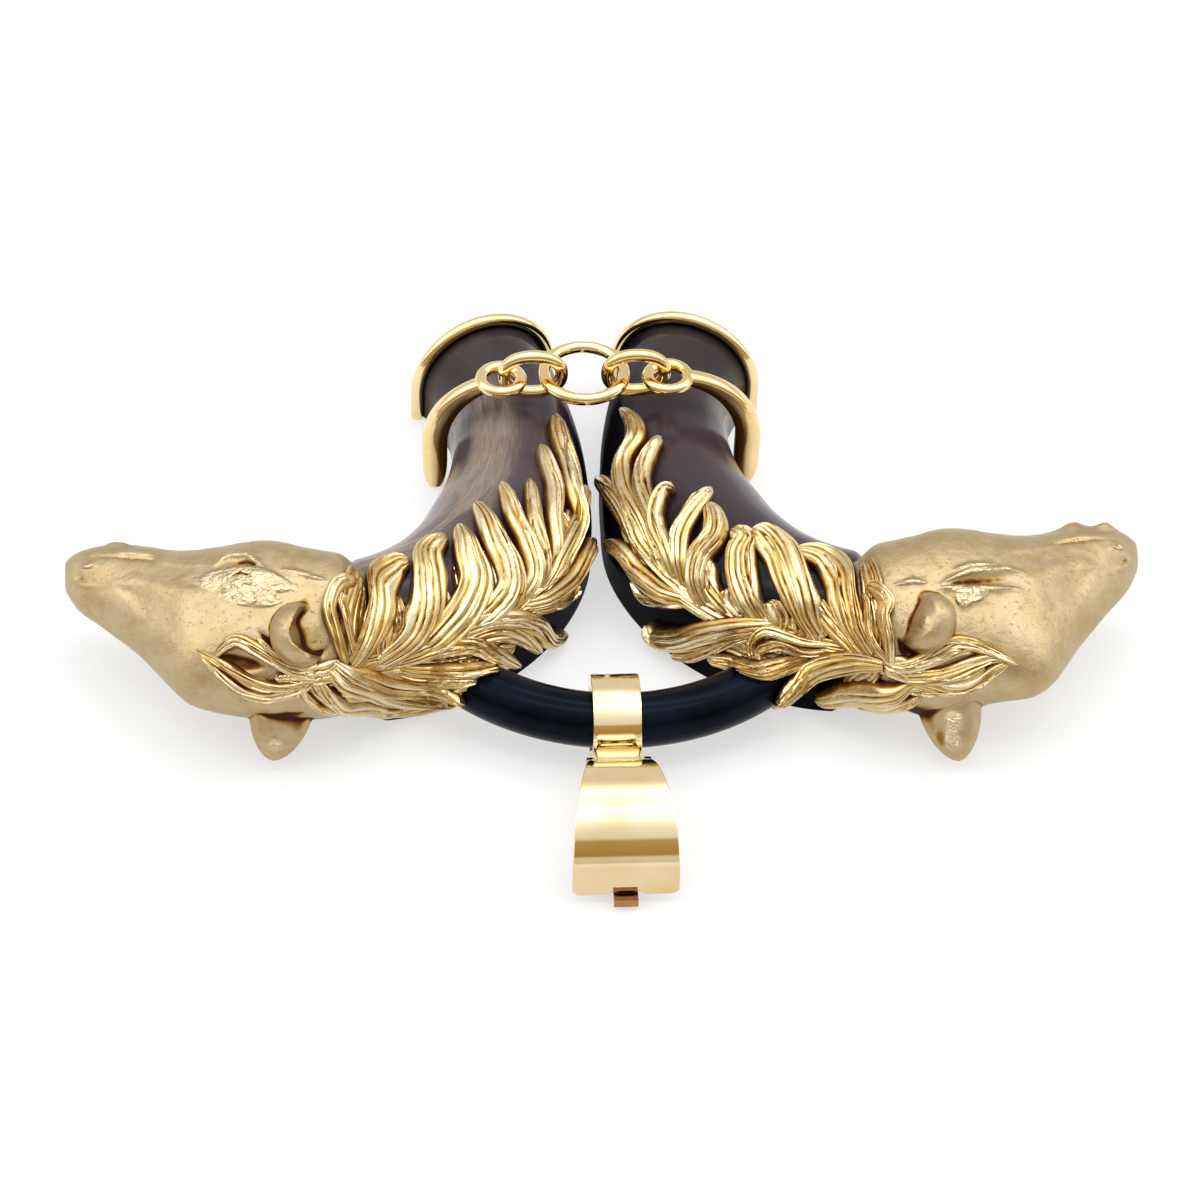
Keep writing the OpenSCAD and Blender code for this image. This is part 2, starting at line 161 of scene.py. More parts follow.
@dataclass(frozen=True)
class Skin:
    """A surface of the right half, read by two coordinates and a height above it."""

    def at(self, p: np.ndarray, q: np.ndarray, out: np.ndarray | float = 0.0) -> np.ndarray:
        """Places of the skin.

        Args:
            p: how far along it.
            q: angle round it, in degrees.
            out: height above it.

        Returns:
            Places in millimetres.
        """
        return self._places(*np.broadcast_arrays(np.asarray(p, float), np.asarray(q, float), out))

    def _places(self, p: np.ndarray, q: np.ndarray, out: np.ndarray) -> np.ndarray:
        """Places for arrays of one shape."""
        raise NotImplementedError


@dataclass(frozen=True)
class NeckSkin(Skin):
    """Skin of the horn neck.

    There p is the share of the way from the rim to the head, and q is 0 on the outer side, 90 in
    front and 180 on the inner side.

    Attributes:
        rows: x, y, half width and height of its slices.
        leg_share: share of the height that its upright legs take.
        leg_turn: degrees of q that run down a leg.
        reach: step along the neck from which its direction is taken.
    """

    rows: tuple[tuple[float, ...], ...] = (
        (8.5, 24.6, 5.3, 7.9),
        (6.7, 19.3, 4.95, 8.1),
        (6.1, 14.2, 5.3, 8.4),
        (6.3, 9, 5.85, 8.9),
        (7.2, 4, 6.6, 9.5),
        (9.3, -0.8, 6.6, 10),
        (12.6, -4.6, 6.3, 10.2),
        (16.5, -6.8, 5.9, 10.2),
        (20.5, -7.8, 5.4, 10.2),
    )
    leg_share: float = 0.36
    leg_turn: float = 30
    reach: float = 0.01

    def _places(self, p: np.ndarray, q: np.ndarray, out: np.ndarray) -> np.ndarray:
        """Places for arrays of one shape.

        Args:
            p: shares of the way from the rim to the head.
            q: angles in degrees.
            out: heights above the skin.

        Returns:
            Places in millimetres.
        """
        rows = np.array(self.rows)
        row = spline(rows, p)
        step = spline(rows, np.minimum(p + self.reach, 1)) - spline(rows, np.maximum(p - self.reach, 0))
        flat = unit(step[..., :2])
        half, tall = row[..., 2], row[..., 3]
        leg = self.leg_share * tall
        b = np.radians(np.clip(q, 0, 180))
        side = (half + out) * np.cos(b)
        arch = leg + (tall - leg + out) * np.sin(b)
        turn = self.leg_turn
        inner = np.where(q > 180, leg * (180 + turn - q) / turn, arch)
        z = np.where(q < 0, leg * (turn + q) / turn, inner)
        return np.stack([row[..., 0] - flat[..., 1] * side, row[..., 1] + flat[..., 0] * side, z], -1)


@dataclass(frozen=True)
class HeadSkin(Skin):
    """Skin of the head: p is x in millimetres and q is 0 on the forehead, 90 in front and 180 on the jaw.

    Attributes:
        fullness: how full its forehead is, from 0 to 1.
        rows: x, y, half depth and half height of its slices.
        forehead: what a full forehead adds to each slice.
        middle_z: height of its middle line.
        lean: how much flatter it is on the forehead than on the jaw.
    """

    fullness: float = 0.0
    rows: tuple[tuple[float, ...], ...] = (
        (18.6, -10.4, 5.6, 5.5),
        (20.4, -10.8, 6.2, 6.1),
        (23, -10.9, 6.6, 6.3),
        (26, -10.6, 7, 6.2),
        (29.5, -10.2, 7, 5.6),
        (32, -9.7, 6.7, 5),
        (33.8, -8.5, 5.9, 4.4),
        (36, -6.6, 4.7, 3.8),
        (39, -4.9, 3.3, 3),
        (40.8, -4.2, 2.4, 2.1),
        (41.8, -3.6, 1.2, 1.2),
    )
    forehead: tuple[float, ...] = (0, 0, 0, 0.1, 0.5, 1.3, 1.9, 1.7, 0.8, 0.2, 0)
    middle_z: float = 7.0
    lean: float = 0.14

    def share(self, x: np.ndarray) -> np.ndarray:
        """Share of the head's length at which a slice lies."""
        t = np.linspace(0, 1, 400)
        return np.interp(x, spline(np.array(self.rows), t)[:, 0], t)

    def _places(self, p: np.ndarray, q: np.ndarray, out: np.ndarray) -> np.ndarray:
        """Places for arrays of one shape.

        Args:
            p: x in millimetres.
            q: angles in degrees.
            out: heights above the skin.

        Returns:
            Places in millimetres.
        """
        t = self.share(p)
        row = spline(np.array(self.rows), t)
        extra = spline(np.array(self.forehead)[:, None], t)[..., 0] * self.fullness
        a = np.radians(q)
        depth = (row[..., 2] + out + extra * np.maximum(np.cos(a), 0)) * np.cos(a)
        width = (row[..., 3] + out) * (1 - self.lean * np.cos(a)) * np.sin(a)
        return np.stack([row[..., 0], row[..., 1] - depth, self.middle_z + width], -1)

    def angles(self, places: np.ndarray) -> np.ndarray:
        """Angles at which places lie round the head.

        Args:
            places: places in millimetres, one in each row.

        Returns:
            Angles in degrees, from -180 to 180 and more than 0 in front.
        """
        row = spline(np.array(self.rows), self.share(places[:, 0]))
        front = (places[:, 2] - self.middle_z) / row[:, 3]
        return np.degrees(np.arctan2(front, (row[:, 1] - places[:, 1]) / row[:, 2]))


@dataclass(frozen=True)
class HairSkin(Skin):
    """Skin under the hair: the neck's, which passes into the head's behind the poll.

    Attributes:
        fullness: fullness of the head's forehead.
        neck: skin up to where the two begin to blend.
        blend: shares of the neck's length between which the head's skin takes over.
        poll: place along the head at which p is 1, in millimetres.
        pitch: millimetres along the head while p rises by 1.
        steps: steps of p and q from which slopes are taken.
    """

    fullness: float = 0.0
    neck: NeckSkin = NeckSkin()
    blend: Place = (0.88, 1.0)
    poll: float = 20.5
    pitch: float = 32.0
    steps: Place = (0.004, 1.0)

    def _places(self, p: np.ndarray, q: np.ndarray, out: np.ndarray) -> np.ndarray:
        """Places for arrays of one shape.

        Args:
            p: shares as on the neck, over 1 on the head.
            q: angles in degrees.
            out: heights above the skin.

        Returns:
            Places in millimetres.
        """
        share = smooth_step((p - self.blend[0]) / (self.blend[1] - self.blend[0]))[..., None]
        head = HeadSkin(self.fullness).at(self.poll + self.pitch * (p - 1), 180 - q, out)
        return self.neck.at(np.minimum(p, 1), q, out) * (1 - share) + head * share


class Bench:
    """Blender's own modelling tools, used on one piece at a time.

    Attributes:
        SEAM: vertices of a seam that are closer than this, in metres, become one.
    """

    SEAM: float = 2e-7

    @staticmethod
    def take(*pieces: Mesh) -> None:
        """Selects these pieces alone and makes the last one active.

        Args:
            pieces: what to select.
        """
        bpy.ops.object.select_all(action="DESELECT")
        for piece in pieces:
            piece.select_set(True)
            bpy.context.view_layer.objects.active = piece

    @staticmethod
    @contextmanager
    def editing() -> Iterator[None]:
        """Opens the active piece in edit mode with all of it selected, and closes it afterwards.

        Yields:
            Nothing, while the piece is open.
        """
        bpy.ops.object.mode_set(mode="EDIT")
        bpy.ops.mesh.select_all(action="SELECT")
        yield
        bpy.ops.object.mode_set(mode="OBJECT")

    @staticmethod
    def face_outwards() -> None:
        """Turns all faces of the piece in edit mode outwards."""
        bpy.ops.mesh.select_all(action="SELECT")
        bpy.ops.mesh.normals_make_consistent(inside=False)

    @staticmethod
    def note(piece: Mesh, marks: dict[str, np.ndarray]) -> None:
        """Keeps values on a piece's vertices, each set under its name.

        Args:
            piece: the piece.
            marks: one value for each vertex, by the name to keep them under.
        """
        for mark, values in marks.items():
            layer = piece.data.attributes.new(mark, "FLOAT", "POINT")
            layer.data.foreach_set("value", values.astype(np.float32).ravel())

    @classmethod
    def drape(cls, name: str, points: np.ndarray, marks: dict[str, np.ndarray] | None = None) -> Mesh:
        """Adds a grid and lays its vertices on rows of points.

        Args:
            name: name of the new piece.
            points: places in metres, rows by columns by three.
            marks: values to keep on the vertices, rows by columns.

        Returns:
            The new piece.
        """
        rows, columns = points.shape[:2]
        bpy.ops.object.select_all(action="DESELECT")
        bpy.ops.mesh.primitive_grid_add(x_subdivisions=columns - 1, y_subdivisions=rows - 1, size=MM)
        piece = bpy.context.object
        piece.name = name
        piece.data.vertices.foreach_set("co", points.astype(np.float32).ravel())
        cls.note(piece, marks or {})
        piece.data.update()
        return piece

    @classmethod
    def sweep(cls, name: str, rings: np.ndarray, marks: dict[str, np.ndarray] | None = None) -> Mesh:
        """Makes a closed skin through rings of points and fills its two ends.

        Args:
            name: name of the new piece.
            rings: places in metres, rings by points by three.
            marks: values to keep on the vertices, rings by points.

        Returns:
            The new piece, a closed mesh whose faces point outwards.
        """
        closed = np.concatenate([rings, rings[:, :1]], axis=1)
        kept = {k: np.concatenate([v, v[:, :1]], axis=1) for k, v in (marks or {}).items()}
        piece = cls.drape(name, closed, kept)
        with cls.editing():
            bpy.ops.mesh.remove_doubles(threshold=cls.SEAM)
            bpy.ops.mesh.select_all(action="DESELECT")
            bpy.ops.mesh.select_mode(type="EDGE")
            bpy.ops.mesh.select_non_manifold()
            bpy.ops.mesh.fill_holes(sides=0)
            cls.face_outwards()
            bpy.ops.mesh.select_mode(type="VERT")
        return piece

    @classmethod
    def plate(cls, name: str, outline: Sequence[Place], low: float, high: float) -> Mesh:
        """Extrudes a flat outline in the y-z plane along x.

        Args:
            name: name of the new piece.
            outline: y and z of its corners in the drawing, in millimetres.
            low: x of its first face, in millimetres.
            high: x of its other face, in millimetres.

        Returns:
            The new piece.
        """
        bpy.ops.object.select_all(action="DESELECT")
        bpy.ops.mesh.primitive_circle_add(vertices=len(outline), radius=MM, fill_type="NGON")
        piece = bpy.context.object
        piece.name = name
        for vertex, (y, z) in zip(piece.data.vertices, outline):
            vertex.co = (low * MM, (y + SHIFT_Y) * MM, z * MM)
        with cls.editing():
            bpy.ops.mesh.extrude_region_move(TRANSFORM_OT_translate={"value": ((high - low) * MM, 0, 0)})
            cls.face_outwards()
        return piece

    @classmethod
    def modify(cls, piece: Mesh, kind: str, **settings: Any) -> None:
        """Adds a modifier with these settings and applies it.

        Args:
            piece: piece to change.
            kind: type of the modifier.
            settings: its properties.
        """
        cls.take(piece)
        bpy.ops.object.modifier_add(type=kind)
        modifier = piece.modifiers[-1]
        for key, value in settings.items():
            setattr(modifier, key, value)
        bpy.ops.object.modifier_apply(modifier=modifier.name)

    @classmethod
    def soften(cls, piece: Mesh, width: float, angle: float = 40.0) -> None:
        """Rounds the sharp edges of a piece by a bevel of this width in millimetres."""
        cls.modify(piece, "BEVEL", width=width * MM, segments=3, limit_method="ANGLE",
                   angle_limit=math.radians(angle), harden_normals=False)

    @classmethod
    def settle(cls, piece: Mesh) -> Mesh:
        """Puts a piece's place into its mesh, so that its object stands at the origin.

        Args:
            piece: piece to settle.

        Returns:
            The same piece.
        """
        cls.take(piece)
        bpy.ops.object.transform_apply(location=True, rotation=True, scale=True)
        return piece

    @classmethod
    def join(cls, name: str, pieces: Sequence[Mesh]) -> Mesh:
        """Joins pieces into one.

        Args:
            name: name of the joined piece.
            pieces: what to join, the last one taking in the others.

        Returns:
            The joined piece.
        """
        cls.take(*pieces)
        bpy.ops.object.join()
        piece = bpy.context.view_layer.objects.active
        piece.name = name
        return piece

    @classmethod
    def shade(cls, piece: Mesh, angle: float) -> Mesh:
        """Shades a piece smooth, except over edges sharper than the angle.

        Args:
            piece: piece to shade.
            angle: the sharpest edge that stays smooth, in degrees.

        Returns:
            The same piece.
        """
        cls.take(piece)
        bpy.ops.object.shade_smooth_by_angle(angle=math.radians(angle))
        return piece

    @staticmethod
    def coat(piece: Mesh, finish: Finish) -> Mesh:
        """Gives a piece one material.

        Args:
            piece: piece to coat.
            finish: its only material.

        Returns:
            The same piece.
        """
        piece.data.materials.clear()
        piece.data.materials.append(finish)
        return piece


def _operator(operation: str, reflected: bool = False) -> Callable[[Signal, Any], Signal]:
    """Makes an operator of a value in a material.

    Args:
        operation: what its Math node does.
        reflected: whether the other value comes first.

    Returns:
        The method.
    """

    def result(self: Signal, other: Any) -> Signal:
        """Adds the Math node for this value and another."""
        first, second = (other, self) if reflected else (self, other)
        return self.graph.node("ShaderNodeMath", {"operation": operation}, {0: first, 1: second})

    return result


class Signal:
    """A value in a material that can stand in a sum."""

    def __init__(self, graph: Graph, socket: bpy.types.NodeSocket) -> None:
        """Wraps an output socket of a graph's node."""
        self.graph = graph
        self.socket = socket

    __add__ = __radd__ = _operator("ADD")
    __sub__ = _operator("SUBTRACT")
    __rsub__ = _operator("SUBTRACT", reflected=True)
    __mul__ = __rmul__ = _operator("MULTIPLY")
    __truediv__ = _operator("DIVIDE")

    def between(self, low: float, high: float) -> Signal:
        """Share of the way from low to high, held within 0 and 1."""
        settings = {"interpolation_type": "SMOOTHSTEP", "clamp": True}
        return self.graph.node("ShaderNodeMapRange", settings, {0: self, 1: low, 2: high})


class Graph:
    """Node graph of a material or of the surroundings, around its main shader."""

    def __init__(self, name: str, world: bool = False) -> None:
        """Starts a graph with its main shader alone.

        Args:
            name: name of the material or world.
            world: whether it is for the surroundings.
        """
        self.block = (bpy.data.worlds if world else bpy.data.materials).new(name)
        self.block.use_nodes = True
        self.tree = self.block.node_tree
        self.shader = self.tree.nodes["Background" if world else "Principled BSDF"]

    def node(self, kind: str, settings: dict[str, Any] | None = None,
             inputs: dict[int | str, Any] | None = None, output: int | str = 0) -> Signal:
        """Adds a node.

        Args:
            kind: its type.
            settings: its properties, or "stops" for a ramp's colours by place.
            inputs: values or signals of its sockets, by index or name.
            output: the socket that is handed on.

        Returns:
            The chosen output.
        """
        node = self.tree.nodes.new(kind)
        for key, value in (settings or {}).items():
            if key == "stops":
                self._fill_ramp(node.color_ramp, value)
            else:
                setattr(node, key, value)
        for key, value in (inputs or {}).items():
            self.feed(node.inputs[key], value)
        return Signal(self, node.outputs[output])

    def feed(self, socket: bpy.types.NodeSocket, value: Any) -> None:
        """Links a signal to a socket, or sets a plain value on it.

        Args:
            socket: an input of a node.
            value: a signal, a colour or a plain value.
        """
        if isinstance(value, Signal):
            self.tree.links.new(value.socket, socket)
        elif socket.type == "RGBA":
            socket.default_value = (*value, 1.0)
        else:
            socket.default_value = value

    @staticmethod
    def _fill_ramp(ramp: bpy.types.ColorRamp, stops: Sequence[tuple[float, Colour]]) -> None:
        """Gives a ramp its colours.

        Args:
            ramp: ramp to fill.
            stops: its colours, each after its place from 0 to 1.
        """
        while len(ramp.elements) < len(stops):
            ramp.elements.new(0.5)
        for element, (position, colour) in zip(ramp.elements, stops):
            element.position = position
            element.color = (*colour, 1.0)

    def place(self) -> Signal:
        """Place on the piece, in metres."""
        return self.node("ShaderNodeTexCoord", output="Object")

    def mark(self, name: str) -> Signal:
        """Value kept on the vertices of the piece."""
        return self.node("ShaderNodeAttribute", {"attribute_name": name}, output="Fac")

    def noise(self, scale: float, detail: float = 4.0, rough: float = 0.55, at: Signal | None = None,
              stretch: Point = (1, 1, 1)) -> Signal:
        """Soft noise.

        Args:
            scale: patches to a metre, or to one unit of what it reads.
            detail: number of finer layers.
            rough: weight of the finer layers.
            at: what it reads, or the place on the piece.
            stretch: scale along each axis.

        Returns:
            Values about one half.
        """
        vector = at or self.place()
        if stretch != (1, 1, 1):
            vector = self.node("ShaderNodeMapping", None, {"Vector": vector, "Scale": stretch})
        return self.node("ShaderNodeTexNoise", None, {"Vector": vector, "Scale": scale, "Detail": detail,
                                                     "Roughness": rough})

    def mix(self, share: Any, first: Any, second: Any, blend: str = "MIX") -> Signal:
        """Colour between two colours, or blended from them in another way."""
        settings = {"data_type": "RGBA", "blend_type": blend}
        return self.node("ShaderNodeMix", settings, {0: share, 6: first, 7: second}, output=2)

    def flat(self, first: Signal, second: Signal) -> Signal:
        """Vector of two values, for patterns that follow a surface."""
        return self.node("ShaderNodeCombineXYZ", None, {0: first, 1: second, 2: 0.0})

    def ramp(self, stops: Sequence[tuple[float, Colour]], value: Signal) -> Signal:
        """Colour that a ramp gives to a value."""
        return self.node("ShaderNodeValToRGB", {"stops": stops}, {0: value})

    def veil(self, share: Signal, colour: Colour) -> None:
        """Covers the main shader with a dull colour by this share.

        Args:
            share: how far it covers, from 0 to 1.
            colour: the dull colour.
        """
        output = next(n for n in self.tree.nodes if n.type == "OUTPUT_MATERIAL")
        dull = self.node("ShaderNodeBsdfDiffuse", None, {"Color": colour})
        main = Signal(self, self.shader.outputs[0])
        covered = self.node("ShaderNodeMixShader", None, {0: share, 1: main, 2: dull})
        self.feed(output.inputs["Surface"], covered)

    def bump(self, height: Signal, depth: float, under: Signal | None = None) -> Signal:
        """Fine relief over a surface.

        Args:
            height: the relief, with 1 for its full depth.
            depth: that depth in millimetres.
            under: normals of another relief that lies under it.

        Returns:
            Normals for the shader.
        """
        inputs = {"Height": height, "Distance": depth * MM, "Strength": 1.0}
        if under:
            inputs["Normal"] = under
        return self.node("ShaderNodeBump", None, inputs)

    def finish(self, **sockets: Any) -> bpy.types.ID:
        """Sets the main shader's sockets, named with _ for spaces.

        Args:
            sockets: values or signals of the sockets.

        Returns:
            The material or world.
        """
        for key, value in sockets.items():
            self.feed(self.shader.inputs[key.replace("_", " ")], value)
        return self.block


@dataclass(frozen=True)
class CastGold:
    """Gold as it comes from the mould: satin, finely grained, darkened by patina in its hollows and by
    painted shade, and burnished with painted highlights where its vertices are marked.

    Attributes:
        name: name of the material.
        light: its colour on open faces.
        deep: its colour in soft patches.
        bright: its colour where it is burnished or carries a painted highlight.
        roughness: how satin it is.
        grain: depth of its grain in millimetres.
        streaks: depth of the fine lines along the hair, in millimetres.
        patina_from: depth of a hollow at which the patina begins.
        patina_full: depth at which it is deepest.
        hollows: tint of the patina and of the painted shade, from its first trace to the deepest hollow.
        patches: soft patches to a metre.
        grains: grains to a metre.
        rubs: patches of burnishing and painted highlight to a metre.
        pocks: small pits to a metre.
        hair_lines: how far the lines along the hair carry the patina.
    """

    name: str
    light: Colour
    deep: Colour
    bright: Colour
    roughness: float = 0.36
    grain: float = 0.02
    streaks: float = 0.0
    patina_from: float = 0.35
    patina_full: float = 1.15
    hollows: tuple[tuple[float, Colour], ...] = (
        (0.0, (1.0, 1.0, 1.0)), (0.22, (0.88, 0.78, 0.5)), (0.48, (0.62, 0.43, 0.1)),
        (0.75, (0.38, 0.18, 0.03)), (1.0, (0.1, 0.022, 0.01)))
    patches: float = 420
    grains: float = 1500
    rubs: float = 1000
    pocks: float = 2600
    hair_lines: float = 1.3

    def build(self) -> Finish:
        """Makes the material.

        Returns:
            The material.
        """
        g = Graph(self.name)
        mottle = g.noise(self.patches, 5, 0.6)
        grain = g.noise(self.grains, 5, 0.75, stretch=(0.75, 1.0, 1.0))
        along_hair = g.flat(g.mark("lane"), g.mark("run"))
        streak = g.noise(1.0, 3, 0.6, at=along_hair, stretch=(3.2, 0.35, 1.0))
        lines = (streak - 0.5) * (self.hair_lines if self.streaks else 0.0)
        # patina in the hollows, and painted shade where the mark holds it
        depth = g.mark("recess") + (mottle - 0.5) * 0.35 + lines
        hollow = depth.between(self.patina_from, self.patina_full)
        rubbed = g.noise(self.rubs, 3, 0.6).between(0.36, 0.56) * 0.6 + 0.4
        # burnished spots that also carry painted highlights
        gleam = g.mark("gleam").between(0.1, 0.9) * rubbed
        colour = g.mix((mottle + grain - 0.5).between(0.3, 0.7), self.deep, self.light)
        pits = (0.36 - g.noise(self.pocks, 2, 0.5)).between(0.0, 0.06)
        brushed = g.noise(self.grains, 3, 0.6, stretch=(0.3, 1.0, 1.0)) * gleam
        fine = g.bump(grain + mottle * 0.9 - pits * 0.5 + brushed * 5.0, self.grain)
        # painted highlight: a lighter colour where the mark is high
        burnished = g.mix(gleam * 0.65, colour, self.bright)
        return g.finish(
            Base_Color=g.mix(1.0, burnished, g.ramp(self.hollows, hollow), "MULTIPLY"),
            Metallic=1.0 - hollow * 0.3,
            Roughness=self.roughness + (grain - 0.5) * 0.3 + hollow * 0.2 - gleam * 0.12,
            Normal=g.bump(streak, self.streaks, fine) if self.streaks else fine,
        )


@dataclass(frozen=True)
class PolishedGold:
    """Bright polished gold with faint wear, and painted shade on the inner faces of a piece.

    Attributes:
        name: name of the material.
        colour: its colour.
        warm: its colour in warmer patches.
        roughness: how dull its polish is.
        inside: painted shade colour on the inner faces of a piece and on the bail front's broad end.
        shadow: dull colour of painted shadow laid over the inner faces.
        clouds: warmer patches to a metre.
        scratches: fine scratches to a metre.
    """

    name: str
    colour: Colour = (0.91, 0.72, 0.4)
    warm: Colour = (0.83, 0.6, 0.25)
    roughness: float = 0.1
    inside: Colour = (0.2, 0.075, 0.01)
    shadow: Colour = (0.06, 0.018, 0.003)
    clouds: float = 260
    scratches: float = 900

    def build(self) -> Finish:
        """Makes the material.

        Returns:
            The material.
        """
        g = Graph(self.name)
        haze = g.noise(self.clouds, 3, 0.5)
        scratches = g.noise(self.scratches, 2, 0.5, stretch=(0.12, 1.0, 1.0))
        colour = g.mix(haze.between(0.35, 0.75), self.colour, self.warm)
        # painted shade: the inner mark darkens a collar's inner faces and the bail front's broad end
        inner = g.mark("inner")
        g.veil(inner.between(0.5, 1.0) * 0.8, self.shadow)
        return g.finish(
            Base_Color=g.mix(inner * 0.9, colour, self.inside),
            Metallic=1.0,
            Roughness=self.roughness + (haze - 0.5) * 0.08,
            Normal=g.bump(scratches, 0.0012),
        )


@dataclass(frozen=True)
class NeckHorn:
    """Polished horn: dark at its end, with painted shade on its inner side and painted shadow at the rim,
    mauve in front, with paler fibres along it.

    Attributes:
        name: name of the material.
        front: colour of the front.
        outer: colour of the outer side, partly its own tone and partly a painted sheen.
        fibre: colour of the fibres.
        fibre_at: place of the fibres round the neck, 0 on the outer side and 1 on the inner side.
        fibre_width: half of their breadth, in the same measure.
        fibre_strength: how much they show.
        inner_from: place round the neck at which painted shade begins.
        clouds: how much its dark clouds show.
        dark: colour of the painted shade on the inner side and in the dished end.
        end_tone: colour of the open end and of the clouds.
    """

    name: str
    front: Colour
    outer: Colour
    fibre: Colour
    fibre_at: float
    fibre_width: float
    fibre_strength: float
    inner_from: float
    clouds: float
    dark: Colour = (0.004, 0.0035, 0.006)
    end_tone: Colour = (0.03, 0.022, 0.024)

    def build(self) -> Finish:
        """Makes the material.

        Returns:
            The material.
        """
        g = Graph(self.name)
        along, around = g.mark("along"), g.mark("around")
        skin = g.flat(along, around)
        cloud = g.noise(3.4, 4, 0.6, at=skin, stretch=(1.0, 2.2, 1.0))
        fibres = g.noise(9.0, 7, 0.8, at=skin, stretch=(1.6, 9.0, 1.0))
        drift = cloud - 0.5
        place = around + drift * 0.16
        side = place.between(self.fibre_at - 0.3, self.fibre_at + 0.1)
        # the outer side's lighter colour is partly the horn's own tone and partly a painted sheen
        base = g.mix(side, self.outer, self.front)
        band = (place - self.fibre_at) / self.fibre_width
        threads = fibres.between(0.3, 0.72) * 0.7 + 0.3
        pale = (1.0 - (band * band).between(0.0, 1.0)) * threads * self.fibre_strength
        base = g.mix(pale, base, self.fibre)
        base = g.mix((0.52 - cloud).between(0.0, 0.14) * self.clouds, base, self.end_tone)
        # painted shade on the inner side, with a dull veil of painted shadow over it
        inner = (place + (along - 0.4) * 0.2).between(self.inner_from, self.inner_from + 0.16)
        base = g.mix(inner, base, self.dark)
        turned = (around + drift * 0.05).between(self.inner_from + 0.06, self.inner_from + 0.26)
        g.veil(turned * 0.85, self.dark)
        end = 1.0 - (along + drift * 0.08).between(0.1, 0.2)
        base = g.mix(end * 0.9, base, self.end_tone)
        return g.finish(
            # painted shadow in the dished end and in the thin band under the rim
            Base_Color=g.mix(1.0 - along.between(0.006, 0.03), base, self.dark),
            Roughness=0.16 + drift * 0.1 + pale * 0.1,
            IOR=1.26,
            Normal=g.bump(fibres, 0.0015),
        )


@dataclass(frozen=True)
class ArcHorn:
    """Near black polished horn of the arc, with a blue cast.

    Attributes:
        name: name of the material.
        deep: its darkest colour.
        blue: its colour in patches.
    """

    name: str = "black_horn"
    deep: Colour = (0.0015, 0.0018, 0.003)
    blue: Colour = (0.004, 0.006, 0.012)

    def build(self) -> Finish:
        """Makes the material.

        Returns:
            The material.
        """
        g = Graph(self.name)
        cloud = g.noise(220, 4, 0.6)
        grain = g.noise(1500, 3, 0.6, stretch=(0.3, 1.0, 1.0))
        return g.finish(
            Base_Color=g.mix(cloud.between(0.35, 0.7), self.deep, self.blue),
            Roughness=0.2 + (grain - 0.5) * 0.12,
            IOR=1.18,
            Specular_Tint=(0.5, 0.65, 1.0),
            Normal=g.bump(grain, 0.002),
        )


@dataclass(frozen=True)
class Lock:
    """One lock of cast hair, laid along places on a skin.

    Attributes:
        path: places from root to tip, in the skin's two coordinates.
        width: its widest, in millimetres.
        rise: its height above the skin, in millimetres.
        strands: number of strands across it.
        lift: how far its tip stands up, in millimetres.
    """

    path: tuple[Place, ...]
    width: float
    rise: float
    strands: int
    lift: float

    @classmethod
    def table(cls, *rows: tuple[float, ...]) -> tuple[Lock, ...]:
        """Locks from rows of numbers.

        Args:
            rows: width, rise, strands and lift, then p in hundredths and q for each place.

        Returns:
            One lock for each row.
        """
        return tuple(cls(tuple((p / 100, q) for p, q in zip(row[4::2], row[5::2])), *row[:4]) for row in rows)


@dataclass
class Part:
    """What is made for one half of the pendant, in one material.

    Attributes:
        side: which half it is on.
        finish: its material.
    """

    side: Side
    finish: Finish


